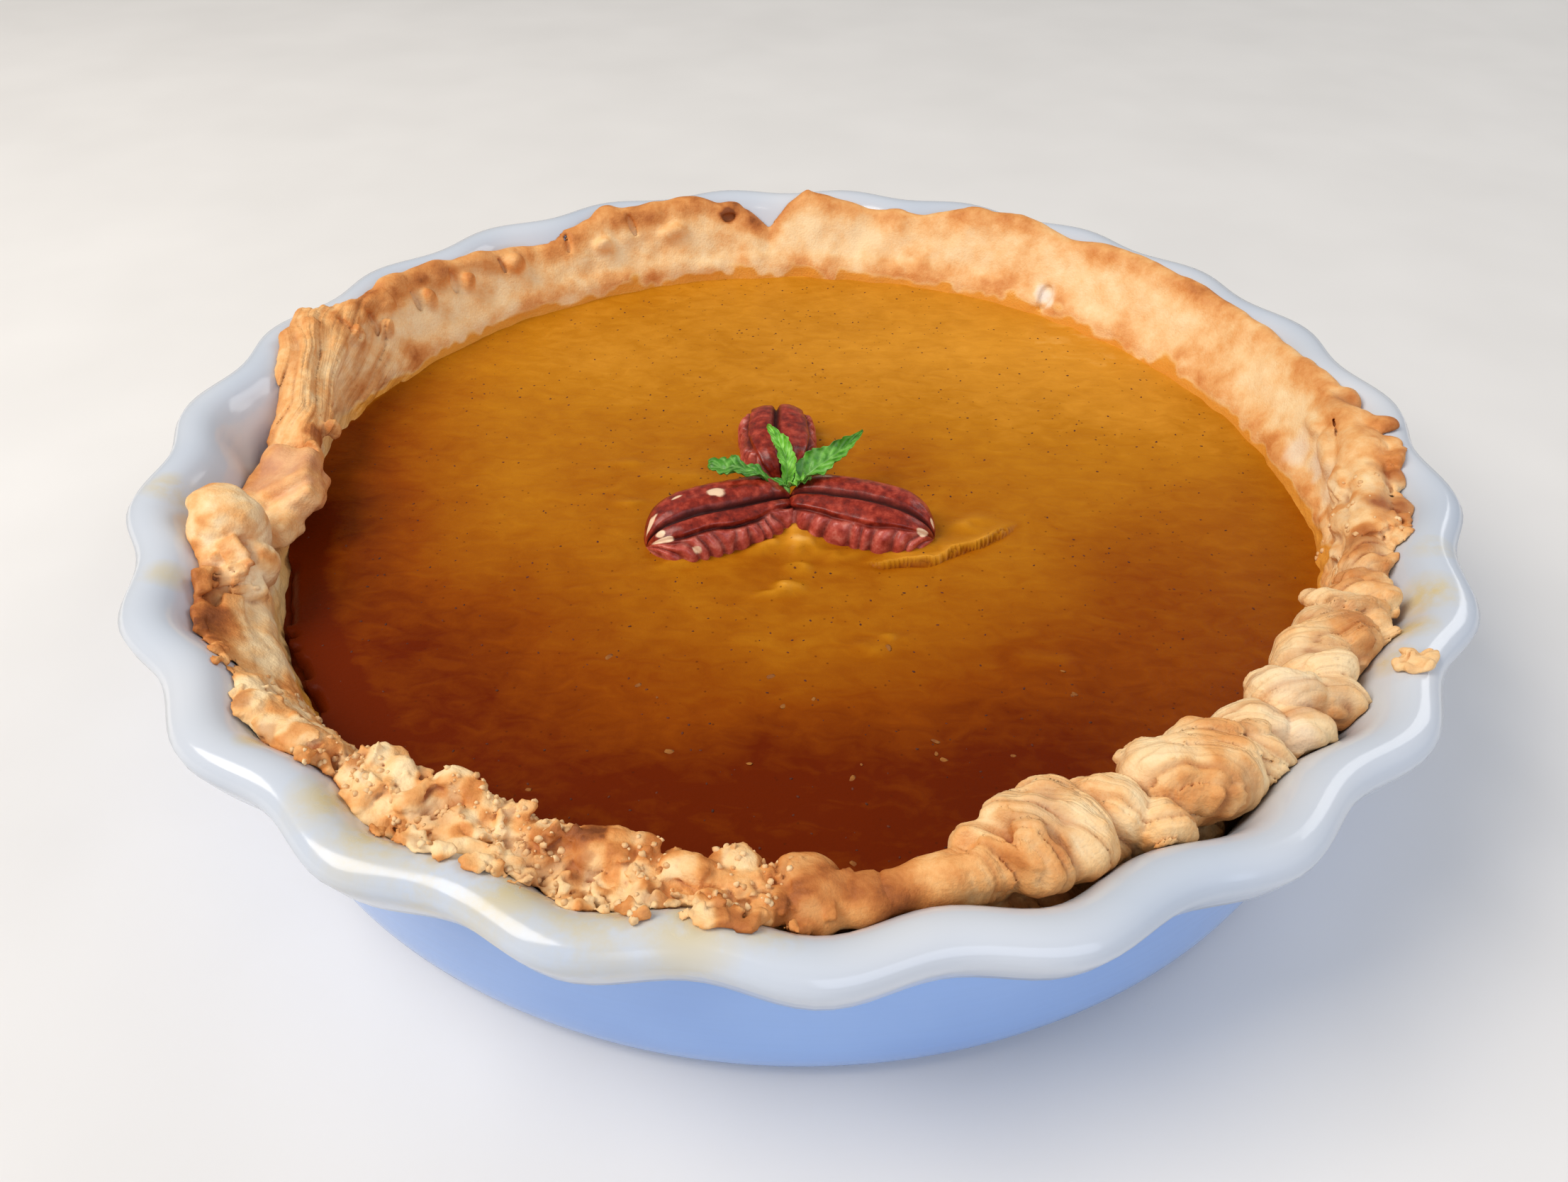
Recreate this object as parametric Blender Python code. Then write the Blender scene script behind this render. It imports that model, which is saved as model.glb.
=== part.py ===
"""Sweet potato pie in its own fluted dish, with three pecan halves and a mint sprig on top.

The origin is the centre of the dish's flat base, on the table. +Z is up and -Y is the pie's front.
Angles round the pie are in degrees, counter-clockwise from +X. Sizes are in millimetres, and MM
turns them to metres.
"""

import math

import bmesh
import bpy
from mathutils import Matrix, Vector, noise

MM = 0.001

# Dish: a pressed, fluted rim on a plain round body
FLUTES = 23
FLUTE_PHASE = 6.0          # angle of the first outward flute
FLUTE_DEPTH = 1.74         # half the swing of the rim, in and out
DISH_STEPS = FLUTES * 5
# (radius at an outward flute, height, share of the flute depth), from the base up the outside,
# over the rim and down the inside
DISH_PROFILE = (
    (112.5, 0.0, 0.0),
    (118.2, 2.2, 0.0),
    (120.4, 7.5, 0.0),
    (122.0, 22.0, 0.0),
    (123.6, 36.0, 0.1),
    (124.8, 40.4, 0.5),
    (131.0, 41.4, 1.0),
    (133.8, 45.4, 1.0),
    (135.0, 49.6, 1.0),
    (133.8, 52.2, 1.0),
    (130.0, 53.2, 1.0),
    (126.2, 51.6, 1.0),
    (123.0, 47.0, 1.0),
    (120.4, 41.0, 0.8),
    (118.6, 34.0, 0.4),
    (117.2, 26.0, 0.1),
    (115.6, 14.0, 0.0),
    (113.4, 7.0, 0.0),
    (108.0, 5.0, 0.0),
)
CREST_INDEX = 10           # the rim's highest point in DISH_PROFILE
BASE_INDEX = 18            # the edge of the dish's inner floor
FLOOR_Z = DISH_PROFILE[BASE_INDEX][1]

# Pastry case: a wall against the dish, with an uneven rolled head on top
FILLING_Z = 34.0
CRUST_FOOT = 7.6           # height of the case's lower edge
WALL_THICK = 6.0
WALL_GAP = 0.35            # between neighbours below the flutes
FLUTE_GAP = 1.9            # between the pastry and the fluted part of the dish
CRUST_STEPS = 96
HEAD_ANGLES = (-55, -15, 25, 60, 95, 130, 170, 215)
# Round the rim: (angle, radius, height of the head's middle, half width, half height)
HEAD_STATIONS = (
    (0, 118.6, 49.4, 7.0, 5.4),
    (14, 119.4, 49.8, 5.4, 4.8),
    (42, 119.4, 50.6, 4.6, 4.8),
    (62, 120.0, 52.2, 4.6, 5.0),
    (73, 118.8, 48.4, 4.2, 4.4),
    (88, 120.0, 52.0, 4.4, 4.6),
    (95, 118.4, 42.5, 3.8, 4.2),
    (104, 120.2, 51.2, 4.8, 4.6),
    (117, 120.0, 51.2, 5.2, 4.8),
    (126, 119.0, 47.4, 5.4, 4.4),
    (147, 120.0, 52.0, 6.6, 5.4),
    (154, 118.4, 48.0, 6.0, 5.0),
    (162, 121.8, 55.0, 5.4, 5.4),
    (172, 114.0, 46.0, 4.8, 5.2),
    (187, 109.6, 42.0, 6.2, 5.2),
    (197, 116.0, 48.0, 9.0, 8.6),
    (206, 116.8, 45.0, 6.0, 4.2),
    (222, 116.6, 46.0, 6.4, 4.2),
    (240, 115.2, 48.5, 7.8, 5.0),
    (262, 114.8, 47.4, 7.0, 4.6),
    (276, 115.8, 47.0, 3.2, 3.4),
    (284, 114.2, 46.5, 6.8, 6.2),
    (340, 115.6, 47.0, 7.2, 6.0),
)
ROPE_FROM = 285.0          # the twisted roll of dough
ROPE_TO = 337.0
ROPE_RADIUS = 113.4
ROPE_HEIGHT = 46.6
ROPE_LONG = 9.4            # half sizes of the roll's oval section
ROPE_SHORT = 7.0
ROPE_PITCH = 19.0          # degrees of the rim in one full turn of the section
BROKEN_FROM = 214.0        # the stretch where the head has broken to crumbs
BROKEN_TO = 272.0
LUMP_SIZE = 9.0            # spacing of the head's unevenness
LUMP_DEPTH = 0.07          # as a share of the head's size
BROKEN_DEPTH = 0.22
SHRINK_FROM = 196.0        # where the filling has drawn away from the pastry
SHRINK_TO = 224.0
SHRINK = 2.4

# Pecan halves: (inner end, outer end) of each one
PECAN_Z = FILLING_Z + 0.3
PECAN_ENDS = {
    "pecan_left": ((-3.0, -4.2), (-30.8, -18.4)),
    "pecan_right": ((-0.9, -5.0), (29.2, -13.8)),
    "pecan_back": ((-3.8, 4.4), (-5.8, 31.6)),
}
PECAN_WIDTH = 16.0
PECAN_HEIGHT = 8.2
PECAN_GROOVE = 1.5

# Mint sprig: leaves as (heading, length, width, rise of the tip), from one joint
MINT_AT = Vector((-2.3, -1.6, 43.4))
MINT_LEAVES = (
    (174.0, 17.0, 7.5, 2.0),
    (31.0, 20.0, 8.5, 6.0),
    (112.0, 11.0, 5.5, 7.0),
)
LEAF_THICK = 1.0
LEAF_STEPS = 7

# A flake of crust that has dropped on the rim
FLAKE_ANGLE = 325.5
FLAKE_RADIUS = 126.8
FLAKE_Z = 54.0
FLAKE_SIZE = (3.9, 2.5, 1.0)


def clear_scene():
    """Remove whatever the scene holds."""
    for item in list(bpy.data.objects):
        bpy.data.objects.remove(item, do_unlink=True)


def material(name, colour, roughness):
    """A Principled material."""
    made = bpy.data.materials.new(name)
    made.use_nodes = True
    shader = made.node_tree.nodes["Principled BSDF"]
    shader.inputs["Base Color"].default_value = (*colour, 1.0)
    shader.inputs["Roughness"].default_value = roughness
    return made


def new_object(name, mesh, finish):
    """An object for a finished mesh, shaded smooth except at its sharp edges."""
    mesh.materials.append(finish)
    mesh.shade_smooth()
    mesh.set_sharp_from_angle(angle=math.radians(50))
    made = bpy.data.objects.new(name, mesh)
    bpy.context.scene.collection.objects.link(made)
    return made


def closed_mesh(name, rings, low_pole=None, high_pole=None):
    """A closed mesh from rings of points, each ring joined to the next.

    Without poles the last ring joins the first, as in a tyre. With poles, each end is a fan.
    """
    bm = bmesh.new()
    rows = [[bm.verts.new(point * MM) for point in ring] for ring in rings]
    count = len(rows[0])
    pairs = list(zip(rows, rows[1:]))
    if low_pole is None:
        pairs.append((rows[-1], rows[0]))
    for lower, upper in pairs:
        for i in range(count):
            j = (i + 1) % count
            bm.faces.new((lower[i], lower[j], upper[j], upper[i]))
    if low_pole is not None:
        first = bm.verts.new(low_pole * MM)
        last = bm.verts.new(high_pole * MM)
        for i in range(count):
            j = (i + 1) % count
            bm.faces.new((first, rows[0][j], rows[0][i]))
            bm.faces.new((last, rows[-1][i], rows[-1][j]))
    bmesh.ops.recalc_face_normals(bm, faces=bm.faces)
    mesh = bpy.data.meshes.new(name)
    bm.to_mesh(mesh)
    bm.free()
    return mesh


def polar(radius, angle, height):
    """The point at a radius, an angle in degrees and a height."""
    turn = math.radians(angle)
    return Vector((radius * math.cos(turn), radius * math.sin(turn), height))


def steps(count):
    """Evenly spaced angles round the pie."""
    return [360.0 * i / count for i in range(count)]


def blend(low, high, share):
    """A value between two others."""
    return low + (high - low) * share


def smooth(share):
    """An even share turned to one that starts and ends gently."""
    share = min(max(share, 0.0), 1.0)
    return share * share * (3.0 - 2.0 * share)


# ---------------------------------------------------------------- dish


def fluted(radius, angle, share):
    """A rim radius after the flutes have drawn it in."""
    wave = math.cos(math.radians(FLUTES * (angle - FLUTE_PHASE)))
    return radius - FLUTE_DEPTH * share * (1.0 - wave)


def inner_wall(height):
    """Radius of the dish's inside at a height, at an inward flute, up to the crest of its rim."""
    inside = DISH_PROFILE[CREST_INDEX:]
    for (r1, z1, w1), (r0, z0, w0) in zip(inside, inside[1:]):
        if height >= z0:
            share = min((height - z0) / (z1 - z0), 1.0)
            return blend(r0, r1, share) - 2.0 * FLUTE_DEPTH * blend(w0, w1, share)
    return inside[-1][0]


def build_dish(finish):
    """The dish, one turned shell with a fluted rim."""
    rings = []
    for radius, height, share in DISH_PROFILE:
        rings.append([polar(fluted(radius, a, share), a, height) for a in steps(DISH_STEPS)])
    mesh = closed_mesh("dish", rings, Vector((0, 0, 0)), Vector((0, 0, FLOOR_Z)))
    return new_object("dish", mesh, finish)


# ---------------------------------------------------------------- pastry and filling


def station(angle):
    """The head's middle and half sizes at an angle, eased between stations."""
    rows = HEAD_STATIONS + ((HEAD_STATIONS[0][0] + 360, *HEAD_STATIONS[0][1:]),)
    for low, high in zip(rows, rows[1:]):
        if angle < high[0]:
            share = smooth((angle - low[0]) / (high[0] - low[0]))
            return [blend(a, b, share) for a, b in zip(low[1:], high[1:])]
    return list(rows[-1][1:])


def rope_share(angle):
    """How far the head is the twisted roll, from 0 to 1."""
    ease = 4.0
    return smooth((angle - ROPE_FROM) / ease + 0.5) * smooth((ROPE_TO - angle) / ease + 0.5)


def head_size(angle, around, half_width, half_height):
    """Size of the head's section in one direction from its middle."""
    plain = half_width * half_height / math.hypot(
        half_height * math.cos(around), half_width * math.sin(around))
    turned = around - math.radians(angle - ROPE_FROM) * 360.0 / ROPE_PITCH
    rope = ROPE_LONG * ROPE_SHORT / math.hypot(
        ROPE_SHORT * math.cos(turned), ROPE_LONG * math.sin(turned))
    return blend(plain, rope, rope_share(angle))


def lump(angle, around):
    """Unevenness of the head, strongest where it has broken to crumbs."""
    where = polar(118.0, angle, 0.0) / LUMP_SIZE + Vector((0.0, 0.0, around * 1.4))
    broken = smooth((angle - BROKEN_FROM) / 6.0) * smooth((BROKEN_TO - angle) / 6.0)
    return 1.0 + blend(LUMP_DEPTH, BROKEN_DEPTH, broken) * noise.noise(where)


def inside_dish(radius, height):
    """A pastry radius held clear of the dish."""
    crest = DISH_PROFILE[CREST_INDEX][1]
    if height > crest + FLUTE_GAP:
        return radius
    gap = FLUTE_GAP if height > FILLING_Z else WALL_GAP
    return min(radius, inner_wall(height) - gap)


def foot_radius(height):
    """Inner radius of the pastry wall below the filling's surface."""
    return inner_wall(height) - WALL_THICK


def crust_section(angle):
    """One section of the pastry as (radius, height), up the outside and down the inside."""
    radius, height, half_width, half_height = station(angle)
    share = rope_share(angle)
    radius = blend(radius, ROPE_RADIUS, share)
    height = blend(height, ROPE_HEIGHT, share)
    outer = [(inner_wall(z) - WALL_GAP, z) for z in (CRUST_FOOT, 16.0, 26.0)]
    outer.append((blend(radius + half_width, 118.0, 0.5), 34.0))
    head = []
    for degrees in HEAD_ANGLES:
        around = math.radians(degrees)
        size = head_size(angle, around, half_width, half_height) * lump(angle, around)
        head.append((radius + size * math.cos(around), height + size * math.sin(around)))
    inner = [(foot_radius(z), z) for z in (FILLING_Z + 2.0, 26.0, 16.0, CRUST_FOOT)]
    return [(inside_dish(r, z), z) for r, z in outer + head] + inner


def build_crust(finish):
    """The pastry, one closed ring round the filling."""
    sections = [[polar(r, a, z) for r, z in crust_section(a)] for a in steps(CRUST_STEPS)]
    return new_object("crust", closed_mesh("crust", sections), finish)


def shrink(angle):
    """How far the filling has drawn in from the pastry."""
    ease = 8.0
    return SHRINK * smooth((angle - SHRINK_FROM) / ease) * smooth((SHRINK_TO - angle) / ease)


def build_filling(finish):
    """The set custard, solid from the pastry's floor level to its surface."""
    rows = ((106.6, FLOOR_Z + WALL_GAP), (foot_radius(CRUST_FOOT) - 0.5, CRUST_FOOT),
            (foot_radius(16.0) - 0.5, 16.0),
            (foot_radius(26.0) - 0.5, 26.0), (foot_radius(FILLING_Z) - 0.6, FILLING_Z - 0.8),
            (foot_radius(FILLING_Z) - 1.6, FILLING_Z - 0.1), (60.0, FILLING_Z))
    rings = []
    for radius, height in rows:
        drawn = [radius - shrink(a) * smooth((height - 26.0) / 8.0) for a in steps(CRUST_STEPS)]
        rings.append([polar(r, a, height) for r, a in zip(drawn, steps(CRUST_STEPS))])
    floor = Vector((0, 0, FLOOR_Z + WALL_GAP))
    mesh = closed_mesh("filling", rings, floor, Vector((0, 0, FILLING_Z)))
    return new_object("filling", mesh, finish)


# ---------------------------------------------------------------- toppings


def pecan_point(point):
    """A unit sphere's point, its poles on X, turned to a pecan half's shape."""
    x, y, z = point
    width = 1.0 - 0.12 * x - 0.10 * x * x
    if z < 0:
        return Vector((x, y * width, -0.02))
    crease = PECAN_GROOVE / PECAN_HEIGHT * math.exp(-((y / 0.22) ** 2)) * (1.0 - x * x)
    ridge = 0.05 * math.sin(7.0 * x * math.pi + 2.0 * abs(y)) * abs(y)
    return Vector((x, y * width, max(z ** 0.8 - crease + ridge * z, 0.0)))


def build_pecan(name, ends, finish):
    """One pecan half, flat side down, its long axis between two ends."""
    inner, outer = (Vector((*end, PECAN_Z)) for end in ends)
    along = outer - inner
    bm = bmesh.new()
    bmesh.ops.create_uvsphere(bm, u_segments=18, v_segments=10, radius=1.0)
    bmesh.ops.rotate(bm, verts=bm.verts, matrix=Matrix.Rotation(math.pi / 2, 3, "Y"))
    size = Matrix.Diagonal((along.length / 2, PECAN_WIDTH / 2, PECAN_HEIGHT))
    turn = Matrix.Rotation(math.atan2(along.y, along.x), 3, "Z")
    for vert in bm.verts:
        vert.co = ((inner + outer) / 2 + turn @ (size @ pecan_point(vert.co))) * MM
    bmesh.ops.translate(bm, verts=bm.verts, vec=(0, 0, 0.02 * PECAN_HEIGHT * MM))
    bmesh.ops.recalc_face_normals(bm, faces=bm.faces)
    mesh = bpy.data.meshes.new(name)
    bm.to_mesh(mesh)
    bm.free()
    return new_object(name, mesh, finish)


def build_leaf(number, heading, length, width, rise, finish):
    """One mint leaf as a thin closed blade, arched along its length."""
    turn = Matrix.Rotation(math.radians(heading), 3, "Z")
    rings = []
    for step in range(LEAF_STEPS):
        along = (step + 0.5) / LEAF_STEPS
        half = width / 2 * math.sin(math.pi * along ** 0.8) ** 0.7
        lift = rise * math.sin(math.pi / 2 * along)
        thick = LEAF_THICK / 2
        ring = [Vector((length * along, side * half, lift + up * thick + 0.25 * half * abs(side)))
                for side, up in ((-1, 0), (0, -1), (1, 0), (0, 1))]
        rings.append([MINT_AT + turn @ point for point in ring])
    tip = MINT_AT + turn @ Vector((length, 0, rise))
    return new_object(f"leaf_{number}", closed_mesh("leaf", rings, MINT_AT, tip), finish)


def build_mint(finish):
    """The mint sprig: three leaves joined by a short stem."""
    bm = bmesh.new()
    place = Matrix.Translation(MINT_AT * MM) @ Matrix.Diagonal((1.0, 1.0, 0.6, 1.0))
    bmesh.ops.create_icosphere(bm, subdivisions=2, radius=2.4 * MM, matrix=place)
    mesh = bpy.data.meshes.new("mint_sprig")
    bm.to_mesh(mesh)
    bm.free()
    sprig = new_object("mint_sprig", mesh, finish)
    for number, leaf in enumerate(MINT_LEAVES):
        blade = build_leaf(number, *leaf, finish)
        blade.hide_render = True
        blade.display_type = "WIRE"
        joined = sprig.modifiers.new(blade.name, "BOOLEAN")
        joined.operation = "UNION"
        joined.object = blade
    return sprig


def build_flake(finish):
    """A thin curved flake of crust lying on the rim."""
    long, wide, thick = FLAKE_SIZE
    rings = []
    for up in (-0.5, 0.5):
        ring = []
        for corner in range(9):
            around = 2 * math.pi * corner / 9
            reach = 1.0 + 0.22 * math.sin(3.1 * corner + 1.0)
            x = long * reach * math.cos(around)
            y = wide * reach * math.sin(around)
            ring.append(Vector((x, y, up * thick + 0.05 * x * x)))
        rings.append(ring)
    turn = Matrix.Rotation(math.radians(FLAKE_ANGLE + 62.0), 3, "Z")
    centre = polar(FLAKE_RADIUS, FLAKE_ANGLE, FLAKE_Z + thick / 2)
    rings = [[centre + turn @ point for point in ring] for ring in rings]
    low = centre - Vector((0, 0, thick / 2))
    high = centre + Vector((0, 0, thick / 2))
    return new_object("crust_flake", closed_mesh("crust_flake", rings, low, high), finish)


def main():
    """Build every piece."""
    clear_scene()
    glass = material("opal_glass", (0.82, 0.85, 0.86), 0.12)
    pastry = material("baked_pastry", (0.79, 0.52, 0.25), 0.6)
    custard = material("sweet_potato_custard", (0.45, 0.15, 0.02), 0.25)
    nut = material("pecan_skin", (0.28, 0.09, 0.07), 0.4)
    leaf = material("mint_leaf", (0.10, 0.33, 0.05), 0.45)
    build_dish(glass)
    build_crust(pastry)
    build_filling(custard)
    for name, ends in PECAN_ENDS.items():
        build_pecan(name, ends, nut)
    build_mint(leaf)
    build_flake(pastry)


main()
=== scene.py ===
"""Sweet potato pie in its fluted dish: the finished looks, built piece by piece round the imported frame.

The script is laid out as an add-on and is run as a script. Its geometry is worked out in
millimetres, with angles round the pie in degrees, counter-clockwise from +X, so the front is 270.
"""

import math

import bmesh
import bpy
import numpy as np
from mathutils import Euler, Matrix, Vector


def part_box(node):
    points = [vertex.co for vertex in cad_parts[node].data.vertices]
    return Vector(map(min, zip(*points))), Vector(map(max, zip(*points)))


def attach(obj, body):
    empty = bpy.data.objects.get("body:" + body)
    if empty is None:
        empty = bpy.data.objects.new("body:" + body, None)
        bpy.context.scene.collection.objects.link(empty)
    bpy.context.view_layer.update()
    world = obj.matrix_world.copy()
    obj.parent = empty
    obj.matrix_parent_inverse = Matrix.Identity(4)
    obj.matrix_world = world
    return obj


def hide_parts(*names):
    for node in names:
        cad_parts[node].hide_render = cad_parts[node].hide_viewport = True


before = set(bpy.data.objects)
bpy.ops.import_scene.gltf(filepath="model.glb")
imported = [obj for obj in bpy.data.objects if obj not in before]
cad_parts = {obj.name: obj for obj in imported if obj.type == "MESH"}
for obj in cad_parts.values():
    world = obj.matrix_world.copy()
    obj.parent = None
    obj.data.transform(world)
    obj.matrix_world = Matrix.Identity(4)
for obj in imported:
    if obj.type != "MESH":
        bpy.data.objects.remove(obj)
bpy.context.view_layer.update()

bl_info = {
    "name": "Sweet Potato Pie",
    "version": (1, 0, 0),
    "blender": (4, 5, 0),
    "location": "View3D > Sidebar > Pie",
    "description": "Builds a baked custard pie in its fluted dish, with pecans and mint",
    "category": "Object",
}

MM = 0.001
BODY = "root"


# ---------------------------------------------------------------- colours and nodes


def linear(code):
    """An sRGB hex colour as linear RGB."""
    parts = [int(code[i:i + 2], 16) / 255 for i in (1, 3, 5)]
    return [c / 12.92 if c <= 0.04045 else ((c + 0.055) / 1.055) ** 2.4 for c in parts]


def per_mm(size):
    """A pattern's scale from its real size in millimetres."""
    return 1.0 / (size * MM)


def set_inputs(tree, node, inputs):
    """Set several inputs of a node, each to a socket to link or to a value."""
    for key, value in inputs.items():
        if isinstance(value, bpy.types.NodeSocket):
            tree.links.new(value, node.inputs[key])
        else:
            node.inputs[key].default_value = value


def add_node(tree, kind, inputs=None, **settings):
    """Add a node with its settings and its inputs."""
    node = tree.nodes.new(kind)
    for key, value in settings.items():
        setattr(node, key, value)
    set_inputs(tree, node, inputs or {})
    return node


def maths(tree, operation, *values):
    """The result of one step of arithmetic."""
    return add_node(tree, "ShaderNodeMath", dict(enumerate(values)), operation=operation).outputs[0]


def rescale(tree, value, low, high, new_low, new_high):
    """A value's range stretched to another, and held at its ends."""
    inputs = dict(enumerate((value, low, high, new_low, new_high)))
    return add_node(tree, "ShaderNodeMapRange", inputs).outputs[0]


def mottle(tree, place, size, detail=2.0, **inputs):
    """Soft noise with spots of a size in millimetres."""
    inputs = {"Vector": place, "Scale": per_mm(size), "Detail": detail, **inputs}
    return add_node(tree, "ShaderNodeTexNoise", inputs).outputs["Fac"]


def marked(tree, key):
    """A value that is stored at the points."""
    return add_node(tree, "ShaderNodeAttribute", attribute_name=key).outputs["Fac"]


def as_colour(colour):
    """A colour with its fourth value, from a hex code, a setting or a socket."""
    if isinstance(colour, bpy.types.NodeSocket):
        return colour
    return (*(linear(colour) if isinstance(colour, str) else colour)[:3], 1.0)


def mixed(tree, share, first, second):
    """Two colours mixed by a share."""
    inputs = {0: share, 6: as_colour(first), 7: as_colour(second)}
    return add_node(tree, "ShaderNodeMix", inputs, data_type="RGBA").outputs[2]


def ramp(tree, value, *stops):
    """A colour ramp over a value, from (position, colour) pairs."""
    node = add_node(tree, "ShaderNodeValToRGB", {"Fac": value})
    elements = node.color_ramp.elements
    while len(elements) < len(stops):
        elements.new(0.5)
    for element, (position, colour) in zip(elements, stops):
        element.position = position
        element.color = as_colour(colour)
    return node.outputs["Color"]


def relief(tree, height, strength, depth):
    """A surface's direction, bumped by a height; the depth is in millimetres."""
    inputs = {"Strength": strength, "Distance": depth * MM, "Height": height}
    return add_node(tree, "ShaderNodeBump", inputs).outputs["Normal"]


def new_material(name):
    """A material, its tree and the place of each point on the object."""
    made = bpy.data.materials.new(name)
    made.use_nodes = True
    tree = made.node_tree
    return made, tree, add_node(tree, "ShaderNodeTexCoord").outputs["Object"]


def finished(made, inputs):
    """The material with its shader's inputs set."""
    tree = made.node_tree
    set_inputs(tree, tree.nodes["Principled BSDF"], inputs)
    return made


# ---------------------------------------------------------------- shapes in numbers


def ease(share):
    """An even share turned to one that starts and ends gently."""
    share = np.clip(share, 0.0, 1.0)
    return share * share * (3.0 - 2.0 * share)


def band(value, low, high, soft):
    """1 between two limits, easing to 0 outside them."""
    return ease((value - low) / soft + 0.5) * ease((high - value) / soft + 0.5)


def on_ring(angles, table, column):
    """A column of a table whose rows start with an angle, read round the rim."""
    rows = np.array(table, float)
    return np.interp(np.asarray(angles) % 360.0, rows[:, 0], rows[:, column], period=360.0)


def lattice(x, y, z, seed):
    """A fixed random number between -1 and 1 for each whole-number point."""
    hashed = (x.astype(np.uint32) * np.uint32(374761393) + y.astype(np.uint32) * np.uint32(668265263)
             + z.astype(np.uint32) * np.uint32(2246822519) + np.uint32(seed * 97 + 13))
    hashed = (hashed ^ (hashed >> np.uint32(13))) * np.uint32(1274126177)
    hashed = (hashed ^ (hashed >> np.uint32(16))) * np.uint32(2654435761)
    return ((hashed >> np.uint32(8)) & np.uint32(0xFFFF)).astype(np.float32) / 32767.5 - 1.0


def noise(points, size, seed):
    """Smooth noise between -1 and 1, with features of a size."""
    scaled = np.asarray(points, np.float32) / np.asarray(size, np.float32) + 500.0
    base = np.floor(scaled)
    share = scaled - base
    share = share * share * share * (share * (share * 6.0 - 15.0) + 10.0)
    corner = base.astype(np.int64)
    total = 0.0
    for i in (0, 1):
        wx = share[..., 0] if i else 1.0 - share[..., 0]
        for j in (0, 1):
            wy = share[..., 1] if j else 1.0 - share[..., 1]
            for k in (0, 1):
                wz = share[..., 2] if k else 1.0 - share[..., 2]
                spot = lattice(corner[..., 0] + i, corner[..., 1] + j, corner[..., 2] + k, seed)
                total = total + wx * wy * wz * spot
    return total


def rough_noise(points, size, seed, octaves=3):
    """Several octaves of noise, each half the size and half as strong."""
    total = 0.0
    for octave in range(octaves):
        total = total + noise(points, np.asarray(size) / 2 ** octave, seed + octave) / 2 ** octave
    return total / (2.0 - 0.5 ** (octaves - 1))


def granules(points, size, seed):
    """Distance to the nearest of many scattered centres: low on each grain, high between grains."""
    scaled = np.asarray(points, np.float32) / size + 500.0
    base = np.floor(scaled).astype(np.int64)
    nearest = np.full(len(scaled), 9.0, np.float32)
    for i in (-1, 0, 1):
        for j in (-1, 0, 1):
            for k in (-1, 0, 1):
                x, y, z = (base + (i, j, k)).T
                away = 0.0
                for axis, cell in enumerate((x, y, z)):
                    centre = cell + 0.5 + 0.5 * lattice(x, y, z, seed + axis * 31)
                    away = away + (centre - scaled[:, axis]) ** 2
                nearest = np.minimum(nearest, away)
    return np.sqrt(nearest)


def soft_min(a, b, blend):
    """The smaller of two fields: rounded where they meet, or creased if blend is below 0."""
    if blend < 0.0:
        near = np.maximum(1.0 + np.abs(a - b) / (2.0 * blend), 0.0)
        return np.minimum(a, b) - near * near * blend * 0.6
    over = np.maximum(blend - np.abs(a - b), 0.0) / blend
    return np.minimum(a, b) - over * over * blend * 0.25


def polar(radius, angle, height):
    """Points at radii, angles in degrees and heights."""
    turn = np.radians(angle)
    return np.stack(np.broadcast_arrays(radius * np.cos(turn), radius * np.sin(turn), height), -1)


def bearing(points):
    """The angle round the pie of each point, from 0 to 360 degrees."""
    return np.degrees(np.arctan2(points[..., 1], points[..., 0])) % 360.0


def on_level(x, y):
    """Points at height 0."""
    return np.stack([x, y, np.zeros_like(x)], -1)


def store(mesh, key, numbers):
    """Keep a number at each point of a mesh."""
    kept = mesh.attributes.new(key, "FLOAT", "POINT")
    kept.data.foreach_set("value", np.asarray(numbers, np.float32))


def read_triples(items, key, kind=np.float32):
    """Three values of each of a mesh's vertices or triangles."""
    values = np.zeros(len(items) * 3, kind)
    items.foreach_get(key, values)
    return values.reshape(-1, 3)


def put_in_scene(name, data):
    """A new object in the scene."""
    made = bpy.data.objects.new(name, data)
    bpy.context.scene.collection.objects.link(made)
    return made


def new_piece(name, points, faces, finish, values=None):
    """A piece from points in millimetres, with a number at each point for each named value."""
    mesh = bpy.data.meshes.new(name)
    mesh.from_pydata((np.asarray(points) * MM).tolist(), [], [list(map(int, f)) for f in faces])
    for key, numbers in (values or {}).items():
        store(mesh, key, numbers)
    if finish:
        mesh.materials.append(finish)
    mesh.shade_smooth()
    return put_in_scene(name, mesh)


def strip_faces(rows, columns, closed=False):
    """Quads between rows of points, each row joined to its own start when closed."""
    i, j = np.meshgrid(np.arange(rows - 1), np.arange(columns - (0 if closed else 1)), indexing="ij")
    nxt = (j + 1) % columns
    quads = np.stack([i * columns + j, i * columns + nxt, (i + 1) * columns + nxt,
                      (i + 1) * columns + j], -1)
    return quads.reshape(-1, 4)


def capped_faces(rows, around):
    """Faces round closed rows of points, with a fan at each end to one of two last points."""
    faces = strip_faces(rows, around, closed=True).tolist()
    middle = rows * around
    last = middle - around
    for i in range(around):
        j = (i + 1) % around
        faces += [(middle, j, i), (middle + 1, last + i, last + j)]
    return faces


def face_outward(piece):
    """Turn a closed piece's faces outward, if its signed volume is negative."""
    mesh = piece.data
    mesh.calc_loop_triangles()
    corners = read_triples(mesh.loop_triangles, "vertices", np.int32)
    a, b, c = read_triples(mesh.vertices, "co")[corners].transpose(1, 0, 2).astype(float)
    if np.einsum("ij,ij->i", a, np.cross(b, c)).sum() < 0:
        mesh.flip_normals()


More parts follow.
